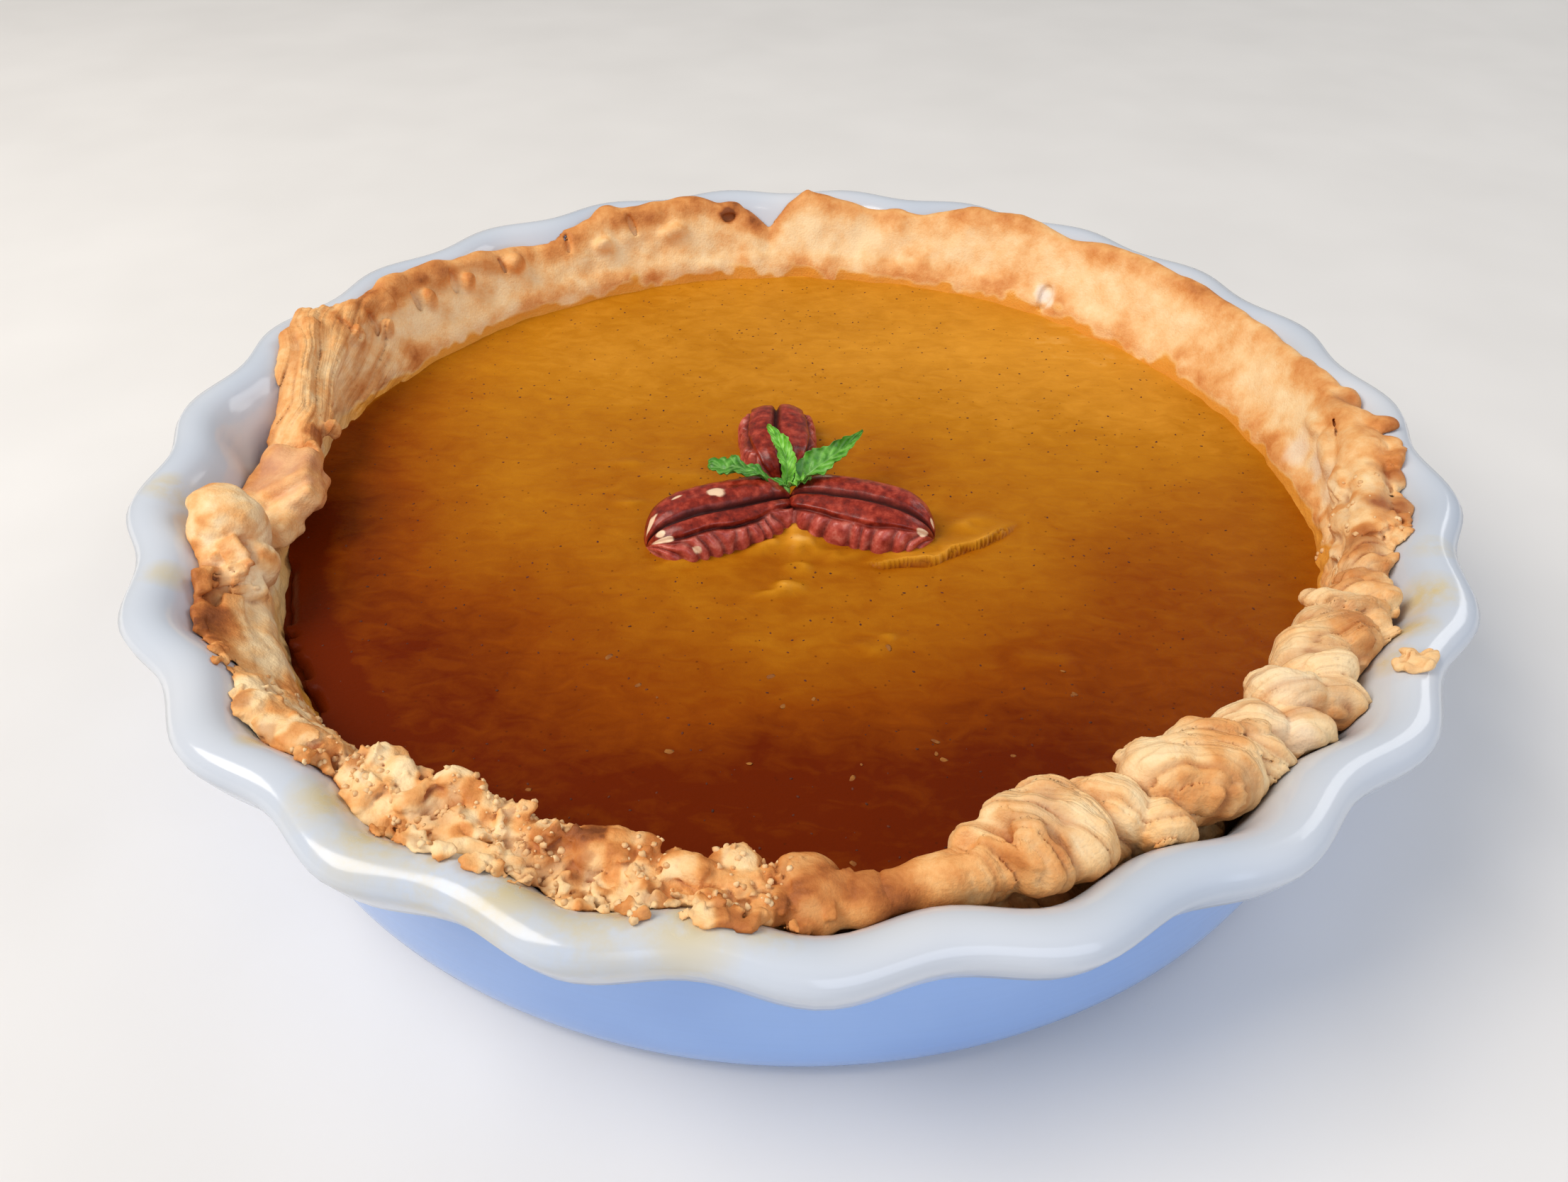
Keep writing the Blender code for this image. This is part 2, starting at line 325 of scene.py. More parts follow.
def settle(piece, slot, *nodes):
    """Let a finished piece ride on the pie and stand for its CAD nodes. Its slot is not used."""
    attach(piece, BODY)
    if nodes:
        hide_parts(*nodes)


# ---------------------------------------------------------------- settings


def setting(kind, name, text, start, **more):
    """A setting of the sidebar, with its name, its description and its value at the start."""
    return getattr(bpy.props, kind + "Property")(name=name, description=text, default=start, **more)


def length_setting(name, text, start):
    """A setting that is a length in metres."""
    return setting("Float", name, text, start, unit="LENGTH")


def colour_setting(name, text, code):
    """A setting that is a colour, from its hex code."""
    return setting("FloatVector", name, text, linear(code), subtype="COLOR", min=0.0, max=1.0)


# ---------------------------------------------------------------- geometry node trees


def new_tree(name, inputs):
    """An empty geometry tree with named inputs: the tree, its inputs' sockets and its output node."""
    tree = bpy.data.node_groups.new(name, "GeometryNodeTree")
    for label, kind in {"Geometry": "Geometry", **inputs}.items():
        tree.interface.new_socket(label, in_out="INPUT", socket_type="NodeSocket" + kind)
    tree.interface.new_socket("Geometry", in_out="OUTPUT", socket_type="NodeSocketGeometry")
    return tree, tree.nodes.new("NodeGroupInput").outputs, tree.nodes.new("NodeGroupOutput")


def end_tree(tree, result, last, finish):
    """Realize a tree's last step, smooth it and give it its finish."""
    real = add_node(tree, "GeometryNodeRealizeInstances", {"Geometry": last.outputs[0]})
    smooth = add_node(tree, "GeometryNodeSetShadeSmooth", {"Geometry": real.outputs[0]})
    last = add_node(tree, "GeometryNodeSetMaterial",
                    {"Geometry": smooth.outputs[0], "Material": finish})
    tree.links.new(last.outputs[0], result.inputs[0])


def run_tree(name, start, tree, values):
    """Run a tree on an object, and keep its result as a plain piece in the object's place."""
    modifier = start.modifiers.new(tree.name, "NODES")
    modifier.node_group = tree
    for item in tree.interface.items_tree:
        if item.in_out == "INPUT" and item.name in values:
            modifier[item.identifier] = values[item.name]
    bpy.context.view_layer.update()
    depsgraph = bpy.context.evaluated_depsgraph_get()
    mesh = bpy.data.meshes.new_from_object(start.evaluated_get(depsgraph), depsgraph=depsgraph)
    bpy.data.objects.remove(start, do_unlink=True)
    mesh.name = name
    return put_in_scene(name, mesh)


# ---------------------------------------------------------------- dish

# (radius at an outward flute, height, share of the flute depth, 1 where the outside is tinted)
DISH_PROFILE = (
    (0, 0, 0, 1), (60, 0, 0, 1), (108, 0, 0, 1), (113.6, 0.3, 0, 1), (117.2, 1.9, 0, 1),
    (119.4, 4.6, 0, 1), (120.6, 9, 0, 1), (121.3, 15, 0, 1), (122, 22, 0, 1), (122.9, 30, 0.03, 1),
    (123.7, 36, 0.12, 1), (124.4, 38.8, 0.3, 1), (125.6, 40.4, 0.55, 1), (127.8, 41.1, 0.85, 0),
    (130.2, 41.3, 1, 0), (131.5, 41.9, 1, 0), (132.3, 43.2, 1, 0), (133.5, 46, 1, 0),
    (134.6, 48.6, 1, 0), (135, 50.3, 1, 0), (134.3, 51.9, 1, 0), (132.6, 52.9, 1, 0),
    (130.4, 53.2, 1, 0), (128.3, 52.7, 1, 0), (126.4, 51.4, 1, 0), (124.7, 49.2, 1, 0),
    (123.1, 46.6, 1, 0), (121.7, 43.4, 0.9, 0), (120.4, 40, 0.75, 0), (119.3, 36, 0.5, 0),
    (118.3, 31, 0.25, 0), (117.4, 26, 0.1, 0), (116.3, 18, 0, 0), (115.5, 12.5, 0, 0),
    (114.2, 8.4, 0, 0), (111.6, 5.9, 0, 0), (107, 5.1, 0, 0), (60, 5, 0, 0), (0, 5, 0, 0),
)
LIP_ROW = 22               # the rim's highest row in DISH_PROFILE
FLOOR_ROW = 35             # the inner floor's edge in DISH_PROFILE
DISH_RINGS = 150           # points along the profile
FLUTE_STEPS = 14           # points along each flute
MERGED = 0.004             # points closer than this are one point


def flute_wave(angle, flutes, phase):
    """How far a flute draws the rim in at an angle, from 0 to 2."""
    return 1.0 - np.cos(np.radians(flutes * (angle - phase)))


def dish_inside(angle, height, dish):
    """Radius of the dish's inside at an angle and a height."""
    rows = np.array(DISH_PROFILE[LIP_ROW:FLOOR_ROW + 1], float)[::-1]
    radius = np.interp(height, rows[:, 1], rows[:, 0])
    share = np.interp(height, rows[:, 1], rows[:, 2])
    return radius - dish.flute_depth / MM * share * flute_wave(angle, dish.flutes, dish.phase)


def glass_height(radius, angle, dish):
    """Height of the glass's inner slope at a radius and an angle."""
    rows = np.array(DISH_PROFILE[LIP_ROW:FLOOR_ROW + 1], float)[::-1]
    inside = dish_inside(angle, rows[:, 1], dish)
    return float(np.interp(radius, inside, rows[:, 1]))


def fluted_dish_tree():
    """Turns a profile round the dish's axis and draws its rim in at each flute."""
    tree, taken, result = new_tree("Fluted Dish", {
        "Flutes": "Int", "Flute Depth": "Float", "Phase": "Float", "Rings": "Int",
        "Steps per Flute": "Int", "Glass": "Material"})
    curve = add_node(tree, "GeometryNodeMeshToCurve", {"Mesh": taken["Geometry"]})
    curve = add_node(tree, "GeometryNodeCurveSplineType", {"Curve": curve.outputs[0]},
                     spline_type="CATMULL_ROM")
    steps = maths(tree, "MULTIPLY", taken["Flutes"], taken["Steps per Flute"])
    grid = add_node(tree, "GeometryNodeMeshGrid", {
        "Size X": 1.0, "Size Y": 1.0, "Vertices X": maths(tree, "ADD", steps, 1.0),
        "Vertices Y": taken["Rings"]})
    place = add_node(tree, "ShaderNodeSeparateXYZ",
                     {0: add_node(tree, "GeometryNodeInputPosition").outputs[0]})
    turn, along = (maths(tree, "ADD", place.outputs[axis], 0.5) for axis in "XY")

    def sample(value=None):
        """The curve's place or a named value, part of the way along it."""
        inputs = {"Curves": curve.outputs[0], "Factor": along}
        if value:
            inputs["Value"] = add_node(tree, "GeometryNodeInputNamedAttribute", {"Name": value},
                                       data_type="FLOAT").outputs[0]
        return add_node(tree, "GeometryNodeSampleCurve", inputs, mode="FACTOR",
                        use_all_curves=True, data_type="FLOAT").outputs

    point = add_node(tree, "ShaderNodeSeparateXYZ", {0: sample()["Position"]}).outputs
    angle = maths(tree, "MULTIPLY", turn, math.tau)
    waves = maths(tree, "MULTIPLY", maths(tree, "SUBTRACT", angle, taken["Phase"]), taken["Flutes"])
    drawn = maths(tree, "SUBTRACT", 1.0, maths(tree, "COSINE", waves))
    depth = maths(tree, "MULTIPLY", drawn, taken["Flute Depth"])
    depth = maths(tree, "MULTIPLY", depth, sample("flute_share")[0])
    radius = maths(tree, "SUBTRACT", point["X"], depth)
    x, y = (maths(tree, "MULTIPLY", radius, maths(tree, part, angle)) for part in ("COSINE", "SINE"))
    where = add_node(tree, "ShaderNodeCombineXYZ", {"X": x, "Y": y, "Z": point["Z"]})
    kept = add_node(tree, "GeometryNodeStoreNamedAttribute",
                    {"Geometry": grid.outputs["Mesh"], "Name": "tint", "Value": sample("tint")[0]},
                    data_type="FLOAT", domain="POINT")
    shell = add_node(tree, "GeometryNodeSetPosition",
                     {"Geometry": kept.outputs[0], "Position": where.outputs[0]})
    joined = add_node(tree, "GeometryNodeMergeByDistance",
                      {"Geometry": shell.outputs[0], "Distance": MERGED * MM})
    end_tree(tree, result, joined, taken["Glass"])
    return tree


def opal_glass(dish):
    """Pressed opal glass, fired white, its body tinted outside: hard gloss over a milky depth.

    The mould leaves faint level lines on the skirt, and butter has smeared on the rim.
    """
    made, tree, place = new_material("pressed_opal_glass")
    cloud = mottle(tree, place, 38)
    white = ramp(tree, cloud, (0.3, "#C0C8D2"), (0.7, dish.white))
    body = ramp(tree, cloud, (0.3, dish.body), (0.72, "#90B2E6"))
    sides = mixed(tree, marked(tree, "tint"), white, body)
    # butter and baked-on smears, where the dough has been pressed on the rim
    smear = rescale(tree, mottle(tree, place, 9, 5.0, Roughness=0.65), 0.36, 0.58, 0.0, 1.0)
    total = None
    for angle, radius, reach in SMEARS:
        spot = tuple(polar(radius, angle, 50.0) * MM)
        away = add_node(tree, "ShaderNodeVectorMath", {0: place, 1: spot}, operation="DISTANCE")
        near = rescale(tree, away.outputs["Value"], reach * MM, reach * 0.3 * MM, 0.0, 1.0)
        total = maths(tree, "MAXIMUM", total, near) if total else near
    butter = maths(tree, "MULTIPLY", total, smear)
    # mould lines: fine level ripples, under a tenth of a millimetre deep
    level = add_node(tree, "ShaderNodeMapping", {"Vector": place, "Scale": (0.08, 0.08, 1.0)})
    ripple = maths(tree, "ADD", mottle(tree, level.outputs[0], 2.2), mottle(tree, place, 14))
    return finished(made, {
        "Base Color": mixed(tree, maths(tree, "MULTIPLY", butter, 0.8), sides, "#D2BC7C"),
        "Roughness": rescale(tree, butter, 0.0, 1.0, dish.gloss, 0.32), "IOR": 1.5,
        "Specular IOR Level": 0.45, "Normal": relief(tree, ripple, 0.35, 0.12)})


# Butter smears on the rim: (angle, radius, reach)
SMEARS = (
    (336, 126.5, 7), (331, 124, 6), (326, 124, 5), (342, 127, 5), (237, 125, 8), (242, 126, 10),
    (247, 126, 9), (252, 125, 11), (258, 125, 12), (264, 124.5, 11), (269, 124, 8), (192, 128, 6),
    (205, 127, 5), (228, 126, 4),
)


class DishSettings(bpy.types.PropertyGroup):
    """Sizes and colours of the glass dish."""

    flutes: setting("Int", "Flutes", "Waves round the rim", 23, min=3)
    flute_depth: length_setting("Flute depth", "Half the swing of the rim, in and out", 1.74 * MM)
    phase: setting("Float", "Phase", "Angle of the first outward flute, in degrees", 6.0)
    gloss: setting("Float", "Roughness", "Roughness of the clean glass", 0.14, subtype="FACTOR",
                   min=0.0, max=1.0)
    white: colour_setting("Rim", "White of the rim and the inside", "#D2D5D9")
    body: colour_setting("Body", "Tint of the outside under the rim", "#84A6DD")


class PIE_OT_dish(bpy.types.Operator):
    """Build the fluted opal glass dish"""

    bl_idname = "pie.dish"
    bl_label = "Dish"

    def execute(self, context):
        dish = context.scene.pie_dish
        rows = np.array(DISH_PROFILE, float)
        mesh = bpy.data.meshes.new("profile")
        points = [(r * MM, 0.0, z * MM) for r, z in rows[:, :2]]
        mesh.from_pydata(points, [(i, i + 1) for i in range(len(points) - 1)], [])
        store(mesh, "flute_share", rows[:, 2])
        store(mesh, "tint", rows[:, 3])
        made = run_tree("fluted_dish", put_in_scene("profile", mesh), fluted_dish_tree(), {
            "Flutes": dish.flutes, "Flute Depth": dish.flute_depth,
            "Phase": math.radians(dish.phase), "Rings": DISH_RINGS,
            "Steps per Flute": FLUTE_STEPS, "Glass": opal_glass(dish)})
        face_outward(made)
        settle(made, "dish_glaze", "dish")
        return {"FINISHED"}


# ---------------------------------------------------------------- pastry

RIM_MIDDLE = 116.0         # middle radius of the pastry
FAR = 9.0                  # field value well outside the dough
FOOT_Z = 30.5              # where the finished pastry ends, hidden under the custard
FACE_Z = 38.0              # height of the wall's face radius in WALL
GROOVE = 1.4               # deepest that a cut may go
CRUMBS = 3200              # loose crumbs for each 100 square centimetres
CRUMB_SIZES = (0.2, 0.7)   # half sizes of the smallest and the largest loose crumb
CRUMBLING = 0.55           # share in CRUMBLE above which loose crumbs lie
CREASES = 36               # seed of the rolled stretch's creases
FOLD = (2.6, 16.0, 16.0)   # size of the rolled stretch's folds, across, along and up
FILM_RISE = 2.0            # how much higher the custard film stands at the right
DOUGH_LOW = (97.0, FOOT_Z)     # smallest radius and height that the dough reaches
DOUGH_HIGH = (134.0, 62.0)     # largest radius and height that it reaches

# The wall of dough round the rim: (angle, radius of its face at FACE_Z, then radius, height and
# half thickness of its top edge)
WALL = (
    (0, 113.4, 119.6, 50, 4.2), (8, 113.4, 121.6, 50.4, 3.2), (16, 113.4, 122.6, 50.4, 2.7),
    (31, 113.4, 122.8, 51.4, 2.7), (42, 113.4, 123, 52, 2.8), (53, 113.4, 122.8, 51, 2.7),
    (61.5, 113.4, 123.2, 53.8, 2.8), (68.6, 113.4, 122.8, 52, 2.7), (73, 113.2, 122.2, 49.6, 2.6),
    (81, 113.2, 122.2, 49.2, 2.6), (87, 113.2, 122.6, 51.8, 2.8), (89.2, 113.2, 123.2, 52.9, 2.8),
    (92, 113.2, 122.2, 49.6, 2.5), (94.6, 113, 120, 43.6, 2.4), (97.5, 113.2, 121.6, 48.2, 2.6),
    (104.5, 113.2, 122.8, 51.7, 3), (112.5, 113.4, 122.6, 51.4, 3), (117.5, 113.4, 122.4, 51.6, 3),
    (126, 113.2, 120.8, 46.2, 2.8), (137, 113.2, 121.4, 49.8, 3), (148, 113.2, 121.8, 51.6, 3.4),
    (156, 113, 120.8, 51.5, 3.4), (163, 113, 121, 53, 3.6), (168, 112.6, 119, 50, 3.2),
    (173, 111.6, 116.6, 43, 3.2), (180, 110.6, 115.2, 41, 3.4), (192, 110.4, 115, 42, 3.6),
    (199, 110.8, 116.4, 43, 3.6), (204, 111.6, 121, 46.6, 2.2), (210, 111.8, 122, 47.2, 1.7),
    (217, 112, 121.6, 46.6, 1.8), (222, 112.4, 119.8, 46.6, 3), (230, 111.8, 118, 44.6, 3.6),
    (240, 111.6, 117.4, 44, 4.2), (256, 111.6, 116.8, 43.6, 4.2), (268, 111.6, 116.4, 44.8, 4.2),
    (276, 113.2, 117, 46, 3), (283, 111.6, 115.4, 45, 4), (292, 109.6, 113.6, 44, 5),
    (330, 109.6, 113.6, 44, 5), (338, 111.4, 115.8, 45, 4.6), (347, 112.8, 117.4, 47.6, 4.6),
)

# Lumps of dough: (angle, radius, height, half sizes along the rim, outward and up, turns about
# those three axes, rounding where it joins, and the corner rounding of a boxy lump)
SIDE_LUMPS = (
    (-2, 120.4, 50.8, (8, 5, 4.2), (-14, 0, 6), 1.2),
    (3.4, 121.6, 51.8, (5.2, 4, 3), (10, 12, -20), 1),
    (7.2, 122.8, 51.6, (4.4, 3.6, 2.4), (14, -8, 10), 1),
    (11, 122.4, 51.4, (5, 3, 2.2), (18, 0, 0), 1.4),
    (1.8, 125.6, 52.6, (3.6, 4, 2.2), (14, 16, 24), 1),
    (-1.4, 125.2, 52, (3.4, 2.6, 2), (4, 20, -10), 0.8),
    (5.6, 117.6, 46.6, (5.6, 2, 3.4), (52, 10, 6), 1),
    (0.4, 116.6, 46.2, (7.4, 2.6, 4.8), (38, -10, 8), 1),
    (-5.6, 115.6, 46, (6, 2.8, 4.8), (24, 6, 10), 0.9),
    (-10.6, 114.2, 45.4, (6.4, 3, 3.8), (10, 4, 12), 0.8),
    (-14.4, 113, 43.2, (3.6, 2, 2.4), (0, 10, 20), 0.6),
    (-6, 123.8, 50.4, (4.6, 2.6, 2.4), (0, 6, 6), 0.8),
    (-10.8, 123.4, 49.6, (4, 2.8, 2.2), (10, -8, -8), 0.7),
    (-15, 122.4, 48.6, (4.4, 2.6, 2.2), (-8, 8, 10), 0.7, 0.9),
    (-3.8, 124.6, 52, (3.4, 2.2, 1.8), (20, 10, 30), 0.6, 0.7),
    (-18.4, 119, 47, (3.6, 3.6, 2.8), (0, 0, 20), 0.8, 0.9),
    (-13, 119, 47.2, (3.4, 2.4, 2), (-20, 10, -30), 0.8, 0.6),
)
SIDE_CUTS = (
    (-15.6, 117, 48, (5.6, 2.6, 2.6), (10, 0, 10), 1.2),
    (6.2, 122.6, 55.2, (6, 2, 2), (0, 6, -12), 1),
    (2.2, 118.6, 49.6, (7, 0.7, 2.6), (34, -12, 8), 0.7),
)
BACK_LUMPS = (
    # the crimped head at the back left
    (100.5, 122.6, 50.6, (5, 3.4, 2.6), (20, 14, 0), 1.4),
    (105.6, 122.8, 52.4, (5.4, 3.2, 2.6), (24, -6, 6), 1.2),
    (111, 122.6, 51.8, (5, 3.6, 2.8), (16, 6, -10), 1.2),
    (116.6, 122.4, 52, (5.4, 3.4, 2.8), (22, -10, 6), 1.2),
    (121.6, 121.6, 49.4, (4.6, 3, 2.2), (26, -16, 0), 1.2),
    (108.4, 118.4, 47, (4.2, 2, 3.4), (50, 10, 0), 1.6),
    (118.6, 118, 46.4, (3.4, 2.2, 4.4), (44, 8, 0), 1.4),
    (126.6, 119.8, 46.4, (5.6, 2.6, 2), (28, 6, 0), 1.2),
    (131.6, 119, 46.8, (3, 2.6, 5.2), (40, 12, 0), 1),
    (135.6, 120.2, 49.2, (4.4, 3.2, 3), (22, -10, 8), 1),
    (139.4, 118.4, 46.6, (2.4, 2.6, 5.4), (36, -10, 0), 0.9),
    (142.6, 120.6, 51, (4.6, 3.4, 2.8), (20, 8, -12), 1),
    (145.6, 118.2, 46.8, (2.6, 2.8, 5.6), (38, 12, 0), 0.9),
    (149, 121.2, 52.6, (5.2, 3.6, 3), (20, -8, 10), 1),
)
BACK_CUTS = (
    (53.2, 113, 39.4, (1.3, 5, 3.4), (-28, 0, 0), 0.7),
    (100.4, 120.6, 49.6, (2.4, 1.4, 1.2), (0, 10, 10), 0.6),
    (114, 119.6, 50.2, (1.2, 3.2, 4.2), (30, 14, 0), 0.8),
    (123.4, 119.2, 49, (1, 3, 4), (30, -12, 0), 0.8),
    (133.6, 117.6, 48.8, (0.9, 2.6, 5), (36, 10, 0), 0.8),
    (141, 117.8, 49.6, (0.9, 2.6, 5.4), (34, -8, 0), 0.8),
    (147.4, 117.4, 49.2, (0.8, 2.6, 5.4), (36, 8, 0), 0.8),
)
LEFT_LUMPS = (
    # the tall pinched fold that hides the rim
    (160.6, 122.4, 52.4, (5.6, 4, 3.6), (10, 10, 16), 1.2),
    (165.2, 120.6, 50.8, (5.4, 3.8, 4.6), (12, -6, 4), 1),
    (156.6, 121.4, 52.2, (4.6, 4.2, 3.8), (18, -10, -6), 1),
    (152, 120.6, 50.8, (4.8, 3.8, 3.2), (18, 8, 8), 1),
    (158.4, 117.6, 47.4, (2.6, 2.6, 6.4), (32, 10, 0), 0.9),
    (153.8, 117.2, 46, (2.4, 2.4, 5.4), (36, 6, 0), 0.9),
    # the strip drawn away from the glass
    (168.6, 117, 48.4, (6.2, 3.6, 4), (4, -18, -22), 1.2),
    (173.2, 113.2, 45.4, (6.6, 3.6, 3.8), (0, -22, -26), 1.2),
    (178, 110, 43.2, (6, 4.2, 3.8), (0, -14, -24), 1.2),
    (175.4, 105.2, 44.6, (1.6, 1.6, 2.6), (0, 0, 0), 1),
    # the flattened lump
    (185.4, 108, 44.4, (8, 6.2, 2.8), (-22, -6, -10), 1.2, 1.6),
    (189.2, 106.4, 42.8, (6, 6, 2.6), (-28, -8, -8), 1, 1.2),
    (183.2, 111, 45, (6.4, 4.4, 3.4), (-6, 6, -20), 1.2),
    (186.4, 104.4, 41, (5.4, 3, 2.2), (-30, 0, 0), 1, 1.2),
    (193.4, 109.2, 41.4, (4.2, 3.8, 2.8), (-10, -10, 20), 1, 1.4),
    # the curled knob
    (198.4, 115.6, 48.6, (8.2, 7.6, 7.8), (0, 0, 0), 1.2),
    (196, 116.8, 52.6, (6.8, 5.4, 3.8), (12, -22, 0), 1),
    (200.8, 117.6, 46.4, (6.2, 5, 6), (0, 10, 0), 0.8),
    (201.8, 111.6, 45, (4.6, 4.6, 5.2), (0, 0, 10), 0.8),
    (203, 118.4, 48.6, (2.6, 2.2, 1.8), (10, 20, 30), 0.5, 0.8),
    (204, 115.8, 46.4, (2.4, 2.6, 1.4), (20, 40, 10), 0.5, 0.7),
    (202.8, 114.4, 50.4, (3, 2.2, 1.6), (-20, 30, -20), 0.5, 0.7),
    (204.6, 113.4, 44, (2.6, 2.8, 2), (10, 30, 0), 0.5, 0.8),
    (204.6, 119.6, 45.4, (2.2, 2.2, 2.6), (10, 20, 0), 0.5, 0.7),
    # the thin torn wall below it
    (206, 121, 48.8, (2.8, 1.6, 2.4), (20, 20, 0), 0.5, 0.7),
    (210.6, 122.8, 48.2, (4.6, 1.4, 2), (24, -12, 2), 0.6, 0.7),
    (215.4, 122.8, 47.6, (4.6, 1.3, 1.6), (24, 8, -2), 0.6, 0.7),
    (208.4, 117.6, 44.6, (4, 2.2, 1.8), (42, 20, 10), 0.8, 0.7),
    (219.6, 120.6, 46.4, (4.4, 2.6, 2.2), (30, 0, -6), 0.8, 0.8),
)
# Strands drawn out by hand: how they blend, then points of (angle, radius, height, half thickness)
LEFT_STRANDS = (
    (1.6, (160.6, 126.4, 54.6, 2.4), (164.6, 124.4, 53.4, 2.7), (169.2, 120, 50, 2.8),
     (174, 115.2, 46.4, 2.6), (179, 111.2, 43.8, 2.4)),
    (1.4, (158.6, 123.8, 54, 2.4), (162.6, 122, 54.4, 2.9), (167.4, 118, 51.4, 2.9),
     (172.6, 113.4, 47.8, 2.8), (178, 109, 45, 2.8)),
    (1.4, (156, 120.6, 51.8, 2.4), (160, 118.8, 51.8, 2.7), (165, 115.4, 48.8, 2.7),
     (170.4, 111.8, 45.6, 2.5), (175, 108.2, 44, 2.2)),
)
LEFT_CUTS = (
    (159, 117.8, 50.6, (0.8, 3.4, 5.4), (30, 12, 0), 0.8),
    (155, 117.8, 49.8, (0.8, 3, 5), (32, 8, 0), 0.8),
    (181.6, 108.4, 47.2, (1.2, 6.4, 2.4), (-12, 0, 14), 1),
    (202.6, 112.6, 49.4, (3.2, 2.2, 0.9), (0, 50, 20), 0.7),
    (204.4, 117.4, 49, (2.6, 2.2, 0.8), (10, 50, -10), 0.6),
    (203.6, 116.6, 44, (3, 2.2, 0.8), (0, 40, 30), 0.6),
    (193.8, 111.6, 47.4, (1.8, 4.4, 4.6), (0, 0, 20), 1),
    (207.2, 120, 47.6, (3, 1.4, 1.6), (40, 20, 10), 0.8),
)
ROLL_LUMPS = (
    # thin pinched neck, then the rolled and twisted lumps towards the right
    (277, 117, 47.4, (5.6, 2.8, 2.6), (0, 0, 0), 1.2),
    (281.4, 115.6, 47.6, (6, 4, 3.6), (0, -6, 4), 1.4),
    (283.4, 111.6, 50.2, (1.5, 1.5, 2.6), (10, -10, 0), 0.8),
    (284.4, 113.4, 47.6, (5, 6.2, 5.2), (0, -10, 0), 1.2),
    (288.6, 112.6, 47.6, (8.6, 8.4, 7), (0, 4, -18), 1.2),
    (286.8, 109.6, 49.6, (4.2, 4.4, 3.8), (0, 0, 0), 1.2),
    (291.6, 112, 48.2, (5.6, 9.6, 6.4), (0, 0, -14), 1),
    (296.4, 111.6, 47.2, (5.4, 8, 6), (0, 0, -24), -0.7),
    (298.2, 117, 47.2, (4.8, 5.4, 5.4), (0, 10, -20), -0.9),
    (301.6, 110.6, 48.4, (6.4, 7.4, 6.6), (0, -4, -30), -0.9),
    (305.4, 113, 48.4, (8.4, 9.2, 6.8), (0, 0, -26), 0.5),
    (309.4, 115.6, 47.2, (5, 7.6, 5.8), (-10, 0, -30), 0.4),
    (312.4, 111.8, 47.6, (4.4, 6.8, 5.6), (0, 0, -38), -0.8),
    (315, 116.8, 46.6, (5.2, 6, 5.4), (0, 10, -38), -0.8),
    (317.4, 111.8, 48.4, (5, 7, 5.6), (0, -6, -36), -0.7),
    (320.4, 117.4, 46.8, (5.2, 5.8, 5), (0, 0, -36), 0.4),
    (323.6, 112.4, 48, (7.6, 7.4, 6.6), (0, -4, -28), -0.8),
    (327.4, 113.6, 48, (8.6, 7.6, 6.4), (0, 4, -24), 0.8),
    (326.6, 117, 48.4, (5.4, 4.2, 3), (-14, 14, -40), -0.5),
    (331.6, 112.4, 49.8, (3.4, 7.6, 3), (-6, -8, -18), -0.7),
    (334.4, 115.4, 49.6, (3.4, 6.8, 3.4), (4, -6, -14), -0.6),
    (332.2, 113.6, 46.6, (5.4, 7.4, 5.6), (0, 0, -16), 0.6),
    (331.6, 118, 47.4, (4.4, 3.8, 4), (0, 0, 0), 0.6),
    (337.6, 115.6, 46.8, (4.6, 5.6, 4.4), (0, 12, -10), -0.6),
    (341.4, 118.4, 47.6, (3.6, 2.8, 2.6), (0, 0, 20), 0.7, 0.9),
)
# thin torn edges standing off the outer side of the roll
ROLL_FLAKES = (
    (309.6, 121.8, 46.4, (2.6, 2.8, 0.5), (-10, 10, 30), 0.5, 0.4),
    (321.8, 122.8, 46.6, (2.8, 2.6, 0.5), (20, -20, 40), 0.5, 0.4),
    (325, 121.6, 47, (2.4, 2, 0.5), (-10, 20, 10), 0.5, 0.4),
    (327.8, 121, 48.2, (3, 2.2, 0.5), (14, 10, -20), 0.5, 0.4),
    (330, 121, 49, (2.4, 1.8, 0.5), (30, -14, 20), 0.5, 0.4),
    (334.6, 120.6, 47.6, (2.6, 1.6, 0.6), (10, 20, 0), 0.5, 0.4),
)
# thin folds wound round the roll
ROLL_STRANDS = (
    (-0.4, (287, 106.8, 50.6, 1.6), (290, 111, 53.8, 1.8), (292.6, 116.4, 52.6, 1.6)),
    (-0.4, (299.6, 104.6, 49.2, 1.4), (303, 108.6, 53.4, 1.8), (307, 114.4, 53.8, 1.7),
     (309.4, 119.2, 50.8, 1.4)),
    (-0.4, (303.6, 105.2, 49.6, 1.3), (306.6, 109.6, 53.8, 1.6), (310.4, 114.6, 52.6, 1.5)),
    (-0.4, (324.6, 107, 50.4, 1.3), (328.4, 111, 52.8, 1.7), (331.6, 115.6, 52.2, 1.6),
     (333.4, 119.2, 49.8, 1.3)),
    (0.5, (276.6, 116.6, 46.8, 2), (280, 115.4, 48.2, 2.2), (284, 113, 49.4, 2.6)),
)
ROLL_CUTS = (
    (282.4, 113, 51.6, (2.6, 1.6, 1.6), (0, 0, 0), 0.8),
    (286, 113.8, 53.4, (0.8, 4.4, 1.8), (0, 0, -10), 0.9),
    (289.4, 117.6, 51.6, (0.7, 5, 1.6), (-20, 0, -24), 0.8),
    (329.2, 112.4, 54.6, (1, 6.6, 2), (0, 0, -16), 0.8),
)
